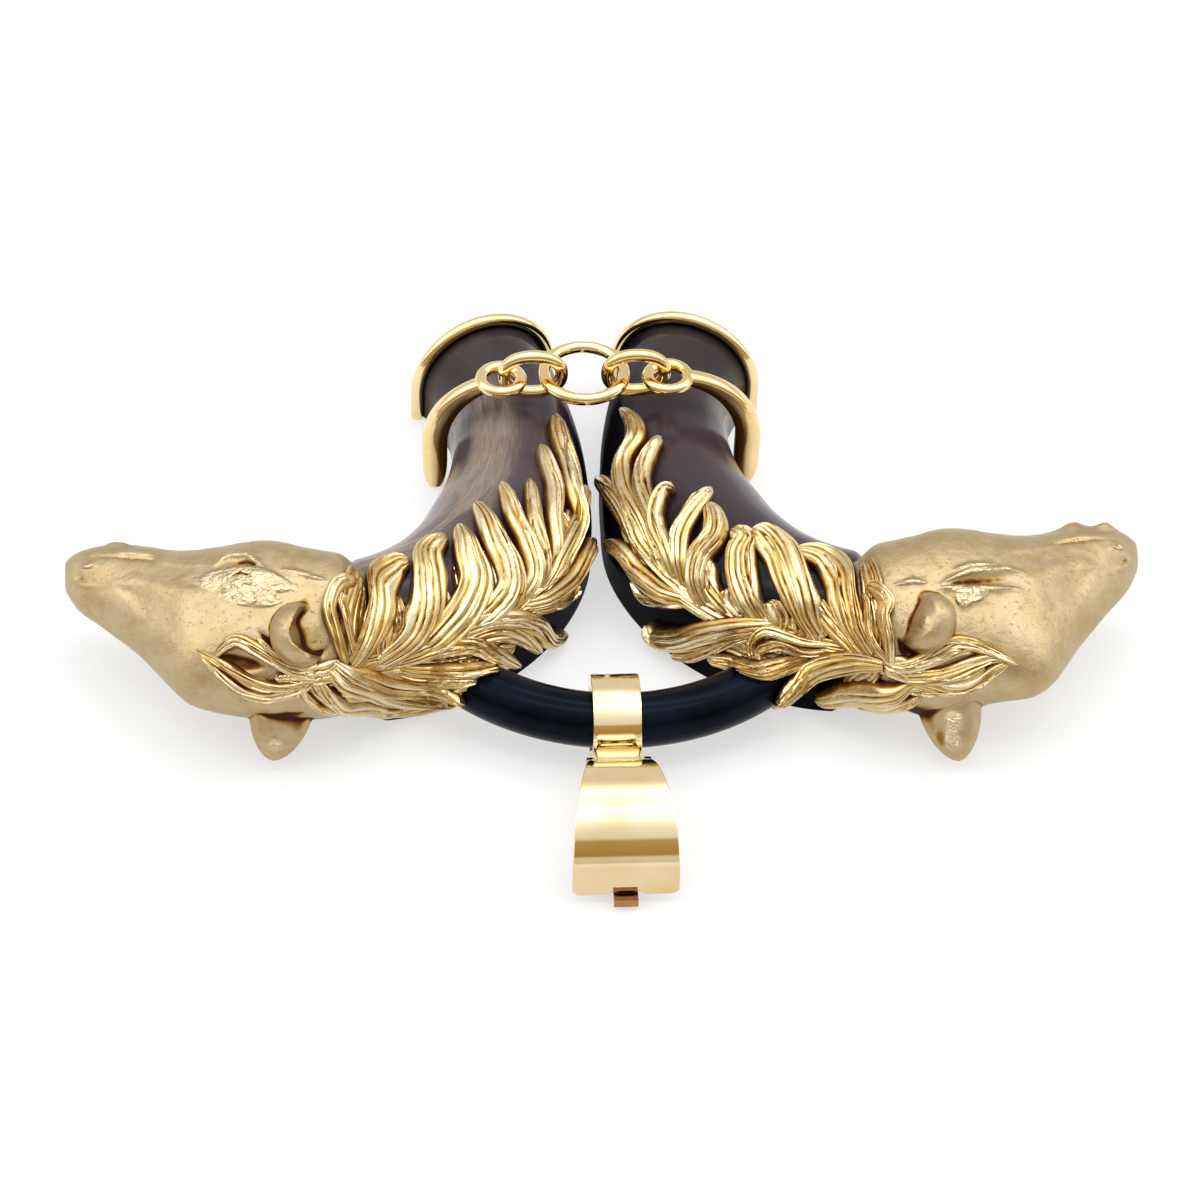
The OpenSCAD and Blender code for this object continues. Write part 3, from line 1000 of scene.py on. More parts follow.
@dataclass
class Hairdresser(Part):
    """Makes locks on the hair's skin.

    Attributes:
        rows: rows of vertices along a lock.
        finest: columns of vertices to a strand.
        groove: depth of the grooves between strands, in millimetres.
        seed: start of the small variations.
        belly: share of its length at which a lock is widest.
        sway: how far the strands sway, in long and in short waves.
        breadth: least and most breadth of a strand, against the others.
        tall: least and most height of a strand.
        closed: how far a groove is filled, and how much that changes along it.
        sunk: how deep a lock's foot lies in what is under it.
        near_table: height under which the hair is squeezed to stay above the table.
        arc_middle: x and y of the middle of the horn arc's curve.
        arc_z: height of the arc's middle line.
        arc_r: radius of its curve.
        arc_bar_r: radius of its bar, with a little room.
        arc_end_y: y below which the arc lies bare.
        arc_steps: how often hair is moved on its way out of the arc.
        arc_lift: each move.
        chance: source of the variations.
        skin: what the hair lies on.
    """

    rows: int = 42
    finest: int = 8
    groove: float = 0.36
    seed: int = 7
    belly: float = 0.45
    sway: Place = (0.5, 0.25)
    breadth: Place = (0.65, 1.35)
    tall: Place = (0.62, 1.0)
    closed: Place = (0.16, 0.22)
    sunk: float = -0.5
    near_table: float = 0.3
    arc_middle: Place = (0.7, -0.2)
    arc_z: float = 3.9
    arc_r: float = 17.0
    arc_bar_r: float = 2.13
    arc_end_y: float = -7.6
    arc_steps: int = 28
    arc_lift: Point = (0.0, -0.108, 0.104)
    chance: np.random.Generator = field(init=False)
    skin: HairSkin = field(init=False)

    def __post_init__(self) -> None:
        """Seeds the small variations between strands and picks this side's skin."""
        self.chance = np.random.default_rng(self.seed)
        self.skin = HairSkin(fullness=1.0 if self.side is Side.RIGHT else 0.0)

    def _across(self, p: np.ndarray, q: np.ndarray, shift: np.ndarray) -> tuple[np.ndarray, np.ndarray]:
        """Moves places sideways on the skin.

        Args:
            p: first coordinate of the middle line, one for each row.
            q: second coordinate of the middle line.
            shift: sideways distances in millimetres, rows by columns.

        Returns:
            Both coordinates, rows by columns.
        """
        dp, dq = self.skin.steps
        slope_p = (self.skin.at(p + dp, q) - self.skin.at(p - dp, q)) / (2 * dp)
        slope_q = (self.skin.at(p, q + dq) - self.skin.at(p, q - dq)) / (2 * dq)
        up = unit(np.cross(slope_p, slope_q))
        middle = self.skin.at(p, q)
        sideways = unit(np.cross(unit(np.gradient(middle, axis=0)), up))
        pp, pq, fp = ((slope_p * v).sum(-1) for v in (slope_p, slope_q, sideways))
        qq, fq = ((slope_q * v).sum(-1) for v in (slope_q, sideways))
        det = pp * qq - pq * pq
        step_p, step_q = (fp * qq - fq * pq) / det, (fq * pp - fp * pq) / det
        return p[:, None] + step_p[:, None] * shift, q[:, None] + step_q[:, None] * shift

    def _strands(self, t: np.ndarray, c: np.ndarray, count: int) -> tuple[np.ndarray, np.ndarray]:
        """Relief of the strands of a lock.

        Args:
            t: shares of the way from root to tip, one for each row.
            c: places across, from -1 to 1.
            count: number of strands.

        Returns:
            Heights from 0 in a groove to 1 on the highest strand, and the lanes, rows by columns.
        """
        turn = self.chance.uniform(0, 6, 2)
        wave = self.sway[0] * np.sin(4.5 * t + turn[0]) + self.sway[1] * np.sin(9 * t + turn[1])
        edges = np.concatenate([[0.0], np.cumsum(self.chance.uniform(*self.breadth, count))])
        spot = (c[None] + 1) / 2 + wave[:, None] * (1 - c[None] ** 2) / count
        lane = np.interp(spot, edges / edges[-1], np.arange(count + 1.0))
        lane = np.clip(lane, 0, count - 1e-4)
        number = lane.astype(int)
        inside = 2 * (lane - number) - 1
        tall = self.chance.uniform(*self.tall, count)[number]
        tall = tall * (1 + 0.14 * np.sin(5 * t[:, None] + self.chance.uniform(0, 6, count)[number]))
        ridge = self.chance.uniform(-0.45, 0.45, count)[number]
        crest = np.clip(1 - np.abs(inside) ** 3, 0, 1) ** 0.6 * (0.8 + 0.3 * bell(inside - ridge, 0.28))
        pace = self.chance.uniform(5, 12, count)[number]
        closed = self.closed[0] + self.closed[1] * np.sin(pace * t[:, None] + number * 2.1)
        return tall * (crest + (1 - crest) * closed), lane

    def _over_arc(self, places: np.ndarray, cover: np.ndarray) -> np.ndarray:
        """Lays hair over the arc where it would run into it.

        Args:
            places: places of the hair in the drawing.
            cover: height to keep above the arc.

        Returns:
            The places, those in the arc moved up and forward out of it.
        """
        places = places.copy()
        low = places[..., 1] < self.arc_end_y
        x, y = self.arc_middle[0] * self.side.value, self.arc_middle[1]
        for _ in range(self.arc_steps):
            from_curve = np.hypot(places[..., 0] - x, places[..., 1] - y) - self.arc_r
            from_bar = np.hypot(from_curve, places[..., 2] - self.arc_z)
            places[low & (from_bar < self.arc_bar_r + cover)] += self.arc_lift
        return places

    def make(self, name: str, lock: Lock) -> Mesh:
        """Builds one lock as a closed skin with rounded strands.

        Args:
            name: name of the new piece.
            lock: what to build.

        Returns:
            The new piece.
        """
        t = np.linspace(0, 1, self.rows)
        line = spline(np.array(lock.path), t)
        c = np.linspace(-1, 1, self.finest * lock.strands + 1)
        swell = 0.5 + 0.5 * np.sin(np.pi / 2 * np.minimum(t / self.belly, 1))
        taper = np.clip(1 - np.clip((t - self.belly) / (1 - self.belly), 0, 1) ** 2.8, 0, 1) ** 0.62
        half = np.maximum(lock.width / 2 * swell * taper, 0.03)
        strand, lane = self._strands(t, c, lock.strands)
        dome = np.sqrt(np.clip(1 - (0.985 * np.abs(c[None])) ** 2.6, 0, 1))
        grow = 0.3 + 0.7 * smooth_step(t / 0.22)[:, None]
        thin = np.clip(1.5 * taper, 0.3, 1)[:, None] ** 0.6
        deep = self.groove * min(1.0, lock.width / lock.strands / 0.5)
        raised = (lock.rise * (0.35 + 0.65 * dome) - deep * (1 - strand)) * grow * thin
        raised += (lock.lift * t**3)[:, None] * dome - 0.1
        raised[:, [0, -1]] = -0.25
        p, q = self._across(line[:, 0], line[:, 1], half[:, None] * c[None])
        top = self._over_arc(self.skin.at(p, q, raised), 0.1 + 0.6 * np.clip(raised, 0, None))
        under_c = np.array([0.7, 0.0, -0.7])
        p, q = self._across(line[:, 0], line[:, 1], half[:, None] * under_c[None])
        rings = np.concatenate([top, self.skin.at(p, q, self.sunk)], axis=1)
        low = np.minimum(rings[..., 2], self.near_table)
        rings[..., 2] += self.near_table * np.exp(low / self.near_table - 1) - low
        edge = smooth_step((np.abs(c[None]) - 0.84) / 0.16)
        # patina in the grooves between strands, and painted shade along the lock's edges and at its root
        recess = np.clip(1.05 - 1.25 * strand + 0.5 * edge + 0.2 * (1 - t[:, None]) ** 4, 0, 1.3)
        blank = np.ones((self.rows, len(under_c)))
        steps = np.linalg.norm(np.diff(top[:, len(c) // 2], axis=0), axis=-1)
        run = np.concatenate([[0.0], np.cumsum(steps)])
        marks = {"recess": recess, "lane": lane + self.chance.uniform(0, 50),
                 "run": np.broadcast_to(run[:, None], lane.shape)}
        marks = {mark: np.concatenate([values, blank], axis=1) for mark, values in marks.items()}
        return Bench.coat(Bench.sweep(name, self.side.placed(rings), marks), self.finish)

    def strays(self, lock: Lock, count: int) -> list[Lock]:
        """Thin strands that lie over a lock.

        Args:
            lock: the lock under them.
            count: how many.

        Returns:
            The strands, as narrow locks of one strand each.
        """
        found = []
        for _ in range(count):
            start = self.chance.uniform(0.02, 0.3)
            line = spline(np.array(lock.path), np.linspace(start, self.chance.uniform(0.8, 0.97), 5))
            offset = self.chance.uniform(-0.32, 0.32) * lock.width
            fan = np.array([[0.7], [0.95], [1.0], [0.8], [0.35]]) * offset
            p, q = self._across(line[:, 0], line[:, 1], fan)
            places = tuple((float(a), float(b)) for a, b in zip(p[:, 0], q[:, 0]))
            found.append(Lock(places, self.chance.uniform(0.34, 0.5), lock.rise + 0.12, 1, lock.lift))
        return found

    def dress(self, locks: Sequence[Lock], strays: int) -> list[Mesh]:
        """Builds locks, each with a number of thin strands over it.

        Args:
            locks: locks to build.
            strays: number of thin strands over each.

        Returns:
            All the new pieces.
        """
        hair = [self.make("lock", lock) for lock in locks]
        for lock in locks:
            hair += [self.make("stray", stray) for stray in self.strays(lock, strays)]
        return hair


@dataclass
class HornNeck(Part):
    """One horn neck: a smooth bent horn, flat behind, with a dished open end.

    Attributes:
        skin: its skin.
        rings: rings along it.
        steps: points over the round of a ring.
        leg_steps: points down a leg of a ring.
        dish: rings of the dished end, as shares of the outline's size and depths in millimetres.
        tuck: where it begins to narrow inside the head, and by how much.
        flare: how much wider its open end is, under the wire of the rim.
    """

    skin: NeckSkin = NeckSkin()
    rings: int = 150
    steps: int = 72
    leg_steps: int = 4
    dish: tuple[Place, ...] = (
        (0.25, 0.5), (0.72, 0.4), (0.82, 0.1), (0.86, -0.35), (0.9, -0.42), (0.99, -0.42))
    tuck: Place = (0.93, 0.4)
    flare: float = 0.04

    def build(self) -> Mesh:
        """Builds the neck's mesh over its node.

        Returns:
            The neck.
        """
        s = np.linspace(0, 1, self.rings)[:, None]
        leg = np.linspace(0, self.skin.leg_turn, self.leg_steps + 1)[1:]
        q = np.concatenate([180 + leg[::-1], np.linspace(180, 0, self.steps), -leg])[None]
        rings = self.skin.at(s, q)
        middle = rings[0].mean(0)
        rim = middle + (rings[0] - middle) * (1 + self.flare)
        inward = unit(rings[1].mean(0) - middle) * [1, 1, 0]
        end = [middle + (rim - middle) * share + inward * depth for share, depth in self.dish]
        core = rings.mean(1, keepdims=True)
        size = 1 - self.tuck[1] * smooth_step((s - self.tuck[0]) / (1 - self.tuck[0]))
        size = size + self.flare * (1 - smooth_step(s / 0.03))
        rings = core + (rings - core) * size[..., None]
        rings = np.concatenate([np.array(end), rings])
        rings[..., 2] = np.maximum(rings[..., 2], 0.0)
        s = np.concatenate([np.zeros((len(end), 1)), s])
        shares = {"along": s, "around": q / 180}
        marks = {mark: np.broadcast_to(share, rings.shape[:2]) for mark, share in shares.items()}
        piece = Bench.sweep(f"horn_neck_{self.side.word}", self.side.placed(rings), marks)
        return Bench.coat(Bench.shade(piece, angle=32), self.finish)


@dataclass
class Collar(Part):
    """Half collar with a squared foot, a crescent that thins towards its eyelet.

    Attributes:
        eyelet: middle of its eyelet.
        middle: x and z of the middle of its outer round.
        outer: radius of its outer round.
        hollow: x and z of the middle of its inner round.
        hollow_r: radius of its inner round.
        eyelet_r: radius of the eyelet to the middle of its wire.
        wire: thickness of the eyelet's wire.
        width: width of the band at its foot and at the eyelet.
        foot_rings: rings over which the foot is rounded off.
        leg_rings: rings of the straight leg.
        arch_rings: rings of the round.
        around: points of a ring.
    """

    eyelet: Point
    middle: Place = (6.7, 4.5)
    outer: float = 7.15
    hollow: Place = (5.7, 4.6)
    hollow_r: float = 6.1
    eyelet_r: float = 1.6
    wire: float = 1.0
    width: Place = (2.0, 1.45)
    foot_rings: int = 5
    leg_rings: int = 8
    arch_rings: int = 50
    around: int = 32

    def build(self) -> Mesh:
        """Builds the band and its eyelet.

        Returns:
            The collar.
        """
        stop = math.acos((self.eyelet[0] + self.eyelet_r - self.middle[0]) / self.outer)
        turn = np.concatenate([np.zeros(self.leg_rings), np.linspace(0, stop, self.arch_rings)])
        leg = np.linspace(-self.middle[1], 0, self.leg_rings + 1)
        drop = np.concatenate([leg, np.zeros(self.arch_rings - 1)])
        aside = np.array(self.middle) - self.hollow
        toward = aside[0] * np.cos(turn) + aside[1] * np.sin(turn)
        thick = self.outer + toward - np.sqrt(toward**2 - aside @ aside + self.hollow_r**2)
        share = smooth_step(np.linspace(0, 1, len(turn)) * 1.05)
        wide = self.width[0] + (self.width[1] - self.width[0]) * share
        w = round_turns(self.around)[None]
        corner = 0.55 + 0.3 * share[:, None]
        foot = np.sqrt(1 - (1 - np.clip(np.arange(len(turn)) / self.foot_rings, 0, 1)) ** 2 * 0.75)
        wide, thin = wide * foot, thick * foot
        across = squared(np.cos(w), corner) * thin[:, None] / 2
        along = squared(np.sin(w), corner) * wide[:, None] / 2
        radius = self.outer - thick[:, None] / 2 + across
        x = self.middle[0] + radius * np.cos(turn)[:, None]
        z = self.middle[1] + drop[:, None] + radius * np.sin(turn)[:, None]
        # painted shade: the band's inner face is marked so that its gold is painted dark brown there
        inner = smooth_step(-squared(np.cos(w), 0.6) * 2.2 + 0.45)
        marks = {"inner": np.broadcast_to(inner, x.shape)}
        band = Bench.sweep("band", self.side.placed(np.stack([x, self.eyelet[1] + along, z], -1)), marks)
        bpy.ops.mesh.primitive_torus_add(
            major_radius=self.eyelet_r * MM, minor_radius=self.wire / 2 * MM, major_segments=64,
            minor_segments=20, location=tuple(self.side.placed(np.array(self.eyelet))))
        ring = Bench.settle(bpy.context.object)
        piece = Bench.join(f"half_collar_{self.side.word}", [ring, band])
        return Bench.coat(Bench.shade(piece, angle=50), self.finish)


@dataclass
class ChainLink(Part):
    """Upright oval link of round wire between an eyelet and the middle ring.

    Attributes:
        eyelet_x: place of its eyelet.
        past_eyelet: how far its end lies beyond the eyelet's middle.
        half_length: from its middle to the middle of its wire at an end.
        half_height: from its middle to the middle of its wire at the top.
        squareness: shape of the oval, 2 for an ellipse.
        wire: thickness of its wire.
        y: place along the necks.
        z: height of its middle.
        steps: rings along its wire.
        around: points of a ring.
    """

    eyelet_x: float
    past_eyelet: float = 0.25
    half_length: float = 2.325
    half_height: float = 1.83
    squareness: float = 2.25
    wire: float = 1.04
    y: float = 14.55
    z: float = 11.4
    steps: int = 96
    around: int = 24

    def build(self) -> Mesh:
        """Builds the link.

        Returns:
            The link.
        """
        turn = np.linspace(0, 2 * np.pi, self.steps + 1)
        power = 2 / self.squareness
        x = self.half_length * squared(np.cos(turn), power)
        line = np.stack([x, self.half_height * squared(np.sin(turn), power)], -1)
        step = np.roll(line[:-1], -1, 0) - np.roll(line[:-1], 1, 0)
        out = unit(np.stack([step[:, 1], -step[:, 0]], -1))
        out = np.concatenate([out, out[:1]])
        w = round_turns(self.around)
        flat = line[:, None] + self.wire / 2 * np.cos(w)[None, :, None] * out[:, None]
        middle = self.eyelet_x - self.past_eyelet - self.half_length
        y = np.broadcast_to(self.y + self.wire / 2 * np.sin(w)[None], flat.shape[:2])
        places = np.stack([middle + flat[..., 0], y, self.z + flat[..., 1]], -1)
        piece = Bench.sweep(f"oval_link_{self.side.word}", self.side.placed(places))
        return Bench.coat(Bench.shade(piece, angle=60), self.finish)


@dataclass(frozen=True)
class Stroke:
    """A ridge or groove worked into a head's skin.

    Attributes:
        path: its places, x in millimetres and the angle in degrees.
        width: its breadth in millimetres.
        height: its height in millimetres, less than 0 for a groove.
        sharp: shape of its flanks, 2 for soft ones.
    """

    path: tuple[Place, ...]
    width: float
    height: float
    sharp: float

    @classmethod
    def table(cls, *rows: tuple[float, ...]) -> tuple[Stroke, ...]:
        """Strokes from rows of numbers.

        Args:
            rows: width, height and sharpness, then x and the angle for each place.

        Returns:
            One stroke for each row.
        """
        return tuple(cls(tuple(zip(row[3::2], row[4::2])), *row[:3]) for row in rows)

    def relief(self, x: np.ndarray, q: np.ndarray) -> np.ndarray:
        """Height that the stroke adds to the skin.

        Args:
            x: places along the head in millimetres.
            q: angles round it in degrees.

        Returns:
            Heights in millimetres.
        """
        scale = np.array([1.0, MM_PER_DEGREE])
        here = np.stack([x, q], -1) * scale
        knots = np.array(self.path) * scale
        if len(knots) == 1:
            return self.height * bell(np.linalg.norm(here - knots[0], axis=-1), self.width, self.sharp)
        nearest = np.full(x.shape, np.inf)
        share = np.zeros(x.shape)
        for k, (a, b) in enumerate(zip(knots[:-1], knots[1:])):
            along = np.clip(((here - a) @ (b - a)) / ((b - a) @ (b - a)), 0, 1)
            gap = np.linalg.norm(here - (a + along[..., None] * (b - a)), axis=-1)
            closer = gap < nearest
            nearest = np.where(closer, gap, nearest)
            share = np.where(closer, (k + along) / (len(knots) - 1), share)
        fade = np.sqrt(np.clip(4 * share * (1 - share), 0.12, 1))
        return self.height * fade * bell(nearest, self.width * fade, self.sharp)


@dataclass(frozen=True)
class Ear:
    """One ear, a scooped leaf or cone.

    Attributes:
        base: middle of its root in the drawing.
        tip: its tip.
        width: its breadth.
        opening: direction that its hollow faces.
        scoop: depth of the hollow.
        widest: share of its length at which it is widest.
        point: shape of its tip, 2 for a round one and 1 for a cone.
        dark: patches of painted shade about the ear, as shares of its length and half width, radius and
            strength.
        shine: burnished patches that also carry painted highlights, in the same way.
        sunk: share of its length that starts inside the head.
        rings: rings along it.
        around: points of a ring.
    """

    base: Point
    tip: Point
    width: float
    opening: Point
    scoop: float = 1.1
    widest: float = 0.35
    point: float = 2.0
    dark: Spots = ()
    shine: Spots = ()
    sunk: float = 0.3
    rings: int = 44
    around: int = 56

    @property
    def axes(self) -> tuple[np.ndarray, np.ndarray, np.ndarray]:
        """Directions along the ear, out of its opening and across it.

        Returns:
            Three directions of length one in the drawing.
        """
        axis = unit(np.array(self.tip) - self.base)
        front = unit(np.array(self.opening) - axis * (np.array(self.opening) @ axis))
        return axis, front, np.cross(axis, front)

    @property
    def length(self) -> float:
        """Length from root to tip."""
        return np.linalg.norm(np.array(self.tip) - self.base)

    def patches(self, spots: Spots, places: np.ndarray) -> np.ndarray:
        """Strength of patches on and about the ear.

        Args:
            spots: the patches.
            places: places in the drawing, one in each row.

        Returns:
            One strength for each place.
        """
        axis, front, wide = self.axes
        total = np.zeros(len(places))
        for along, across, radius, strength in spots:
            middle = self.base + axis * self.length * along + wide * self.width / 2 * across
            middle = middle + front * self.width * 0.2
            total += strength * bell(np.linalg.norm(places - middle, axis=1), radius, 2.5)
        return total

    def build(self, side: Side) -> Mesh:
        """Builds the ear as a closed skin that starts inside the head.

        Args:
            side: half on which it stands.

        Returns:
            The ear.
        """
        axis, front, wide = self.axes
        v = np.linspace(-self.sunk, 1, self.rings)[:, None]
        falls = np.clip((v - self.widest) / (1 - self.widest), 0, 1)
        body = np.clip(1 - falls ** (0.4 + self.point), 0, 1) ** (1 / self.point)
        root = 0.86 + 0.14 * smooth_step((v + self.sunk) / (self.widest + self.sunk))
        w = round_turns(self.around)[None]
        lobe = bell(np.minimum(w, 2 * np.pi - w), 0.8, 4)
        hollow = self.scoop * lobe * smooth_step((v - 0.05) / 0.25) * body
        radius = self.width / 2 * body * root
        depth = radius * 0.85 * np.cos(w) - hollow
        places = np.array(self.base) + axis * self.length * v[..., None] + front * depth[..., None]
        return Bench.sweep("ear", side.placed(places + wide * (radius * np.sin(w))[..., None]))


@dataclass(frozen=True)
class Face:
    """Features of one head.

    Attributes:
        strokes: its ridges and grooves.
        stains: where patina stays and where shade is painted, with its strength as height.
        burnish: where it is rubbed and where a highlight is painted, with its strength as height.
        ears: its two ears.
        forelock: locks that lie on it.
    """

    strokes: tuple[Stroke, ...]
    stains: tuple[Stroke, ...]
    burnish: tuple[Stroke, ...]
    ears: tuple[Ear, ...]
    forelock: tuple[Lock, ...]


@dataclass
class HorseHead(Part):
    """Cast horse head with its ears and forelock.

    Attributes:
        hair_finish: material of the forelock.
        face: its features.
        slices: slices along it.
        around: points of a slice.
        voxel: cell of the grid on which skull and ears are cast as one, in millimetres.
        ends: x of its rear and of its nose.
        back: height of its flat back above the table.
        rounding: how far its rear edge is rounded in, and over what length.
        ripple: height of the slow waves in its skin.
        waves: pace along it, pace round it and start of each wave.
        far_side: angle beyond which the near side's features are repeated.
        crease: depth of a hollow that holds the full patina, in millimetres.
        blurs: how often the skin is evened out to find its hollows.
    """

    hair_finish: Finish
    face: Face
    slices: int = 230
    around: int = 220
    voxel: float = 0.135
    ends: Place = (18.65, 41.8)
    back: float = 0.12
    rounding: Place = (1.1, 2.8)
    ripple: float = 0.008
    waves: tuple[Point, ...] = ((3.1, 1.0, 0.0), (2.3, -2.0, 1.7), (4.6, 3.0, 0.6))
    far_side: float = -70
    crease: float = 0.045
    blurs: int = 6

    @property
    def skin(self) -> HeadSkin:
        """Skin of this head, fuller in the forehead on the right."""
        return HeadSkin(fullness=1.0 if self.side is Side.RIGHT else 0.0)

    def build(self) -> Mesh:
        """Builds the head over its node.

        Returns:
            The head.
        """
        x = np.linspace(*self.ends, self.slices)[:, None]
        q = np.linspace(0, 360, self.around, endpoint=False)[None]
        x, q = np.broadcast_arrays(x, q)
        near = np.where(q > 180, q - 360, q)
        strokes = self.face.strokes
        relief = self._sum(strokes, x, near) + self._sum(strokes, x, -near) * (near < self.far_side)
        relief = relief - self.rounding[0] * (1 - smooth_step((x - self.ends[0]) / self.rounding[1])) ** 1.6
        relief = relief + self.ripple * sum(np.sin(a * x + b * near / 10 + c) for a, b, c in self.waves)
        skull = Bench.sweep("skull", self.side.placed(self.skin.at(x, q, relief)))
        piece = Bench.join("cast", [skull] + [ear.build(self.side) for ear in self.face.ears])
        Bench.modify(piece, "REMESH", mode="VOXEL", voxel_size=self.voxel * MM, use_smooth_shade=True)
        Bench.modify(piece, "SMOOTH", factor=0.5, iterations=2)
        self._trim(piece)
        self._mark(piece)
        Bench.coat(piece, self.finish)
        dresser = Hairdresser(self.side, self.hair_finish, rows=30, finest=6, groove=0.3, seed=11)
        hair = dresser.dress(self.face.forelock, strays=2)
        return Bench.shade(Bench.join(f"horse_head_{self.side.word}", hair + [piece]), angle=60)

    @staticmethod
    def _sum(strokes: Sequence[Stroke], x: np.ndarray, q: np.ndarray) -> np.ndarray:
        """Height that all strokes add together at places on the skin."""
        return sum(stroke.relief(x, q) for stroke in strokes)

    def _trim(self, piece: Mesh) -> None:
        """Cuts off what lies under the flat back.

        Args:
            piece: the cast head.
        """
        Bench.take(piece)
        with Bench.editing():
            cut = (0, 0, self.back * MM)
            bpy.ops.mesh.bisect(plane_co=cut, plane_no=(0, 0, 1), clear_inner=True, use_fill=True)

    def _mark(self, piece: Mesh) -> None:
        """Keeps on each vertex how deep it lies in a hollow or under painted shade, and how far it is
        burnished or carries a painted highlight.

        Args:
            piece: the cast head.
        """
        mesh = piece.data
        count = len(mesh.vertices)
        places, normals = np.empty(count * 3), np.empty(count * 3)
        mesh.vertices.foreach_get("co", places)
        mesh.vertices.foreach_get("normal", normals)
        places, normals = places.reshape(-1, 3), normals.reshape(-1, 3)
        ends = np.empty(len(mesh.edges) * 2, int)
        mesh.edges.foreach_get("vertices", ends)
        first, second = ends.reshape(-1, 2).T
        number = np.bincount(ends, minlength=count)[:, None]
        smoothed = places.copy()
        for _ in range(self.blurs):
            total = np.zeros_like(smoothed)
            np.add.at(total, first, smoothed[second])
            np.add.at(total, second, smoothed[first])
            smoothed = total / number
        drawn = places / MM * [self.side.value, 1, 1] - [0, SHIFT_Y, 0]
        q = self.skin.angles(drawn)
        depth = ((smoothed - places) * normals).sum(-1) / (self.crease * MM)
        stain_and_shade = self._sum(self.face.stains, drawn[:, 0], q)
        gleam = self._sum(self.face.burnish, drawn[:, 0], q)
        for ear in self.face.ears:
            stain_and_shade, gleam = stain_and_shade + ear.patches(ear.dark, drawn), gleam + ear.patches(ear.shine, drawn)
        marks = {"recess": 0.8 * depth + stain_and_shade, "gleam": gleam}
        Bench.note(piece, {mark: np.clip(values, 0, 1.3) for mark, values in marks.items()})


@dataclass
class Mane(Part):
    """Cast flame mane over the crest of one neck.

    Attributes:
        locks: its locks, the lowest first.
        strays: thin strands over each lock.
    """

    locks: tuple[Lock, ...]
    strays: int = 1

    def build(self) -> Mesh:
        """Builds the mane over its node."""
        hair = Hairdresser(self.side, self.finish, seed=3).dress(self.locks, self.strays)
        return Bench.shade(Bench.join(f"flame_mane_{self.side.word}", hair), angle=60)


@dataclass
class BailLoop:
    """Polished band that rides on the arc, with the knuckle of the hinge.

    Attributes:
        finish: its material.
        middle: y and z of the middle of its bore.
        radius: its outer radius.
        bore: radius of its bore.
        width: its width.
        edge: width of its softened edges.
        knuckle: y, z and radius of the knuckle.
        knuckle_w: width of the knuckle and of its neck.
        neck: half height of the neck, and how far it runs into the band.
        steps: rings round the band.
    """

    finish: Finish
    middle: Place = (-17.2, 3.9)
    radius: float = 3.6
    bore: float = 2.62
    width: float = 3.7
    edge: float = 0.16
    knuckle: Point = (-22.6, 3.7, 1.02)
    knuckle_w: float = 3.3
    neck: Place = (0.8, 0.35)
    steps: int = 160

    def build(self) -> Mesh:
        """Builds the band and its knuckle.

        Returns:
            The loop.
        """
        x, cut, bore, outer = self.width / 2, self.edge, self.bore, self.radius
        flank = [(-x, bore + cut), (-x, outer - cut), (-x + cut * 0.3, outer - cut * 0.3), (-x + cut, outer)]
        profile = flank + [(-u, v) for u, v in reversed(flank)] + [(x - cut, bore), (-x + cut, bore)]
        u, v = np.array(profile).T[:, None]
        turn = np.linspace(0, 2 * np.pi, self.steps + 1)[:, None]
        y = self.middle[0] + v * np.cos(turn)
        z = self.middle[1] + v * np.sin(turn)
        band = Bench.sweep("band", Side.RIGHT.placed(np.stack([np.broadcast_to(u, y.shape), y, z], -1)))
        y, z, radius = self.knuckle
        (tall, inside), half = self.neck, self.knuckle_w / 2
        end = self.middle[0] - outer + inside
        knuckle = Bench.plate("knuckle", arc((y, z), radius, np.arange(0, 360, 7.5)), -half, half)
        block = [(y, z - tall), (end, z - tall), (end, z + tall), (y, z + tall)]
        neck = Bench.plate("neck", block, -half, half)
        for part in (knuckle, neck):
            Bench.soften(part, 0.14)
        piece = Bench.join("bail_band", [knuckle, neck, band])
        return Bench.coat(Bench.shade(piece, angle=30), self.finish)


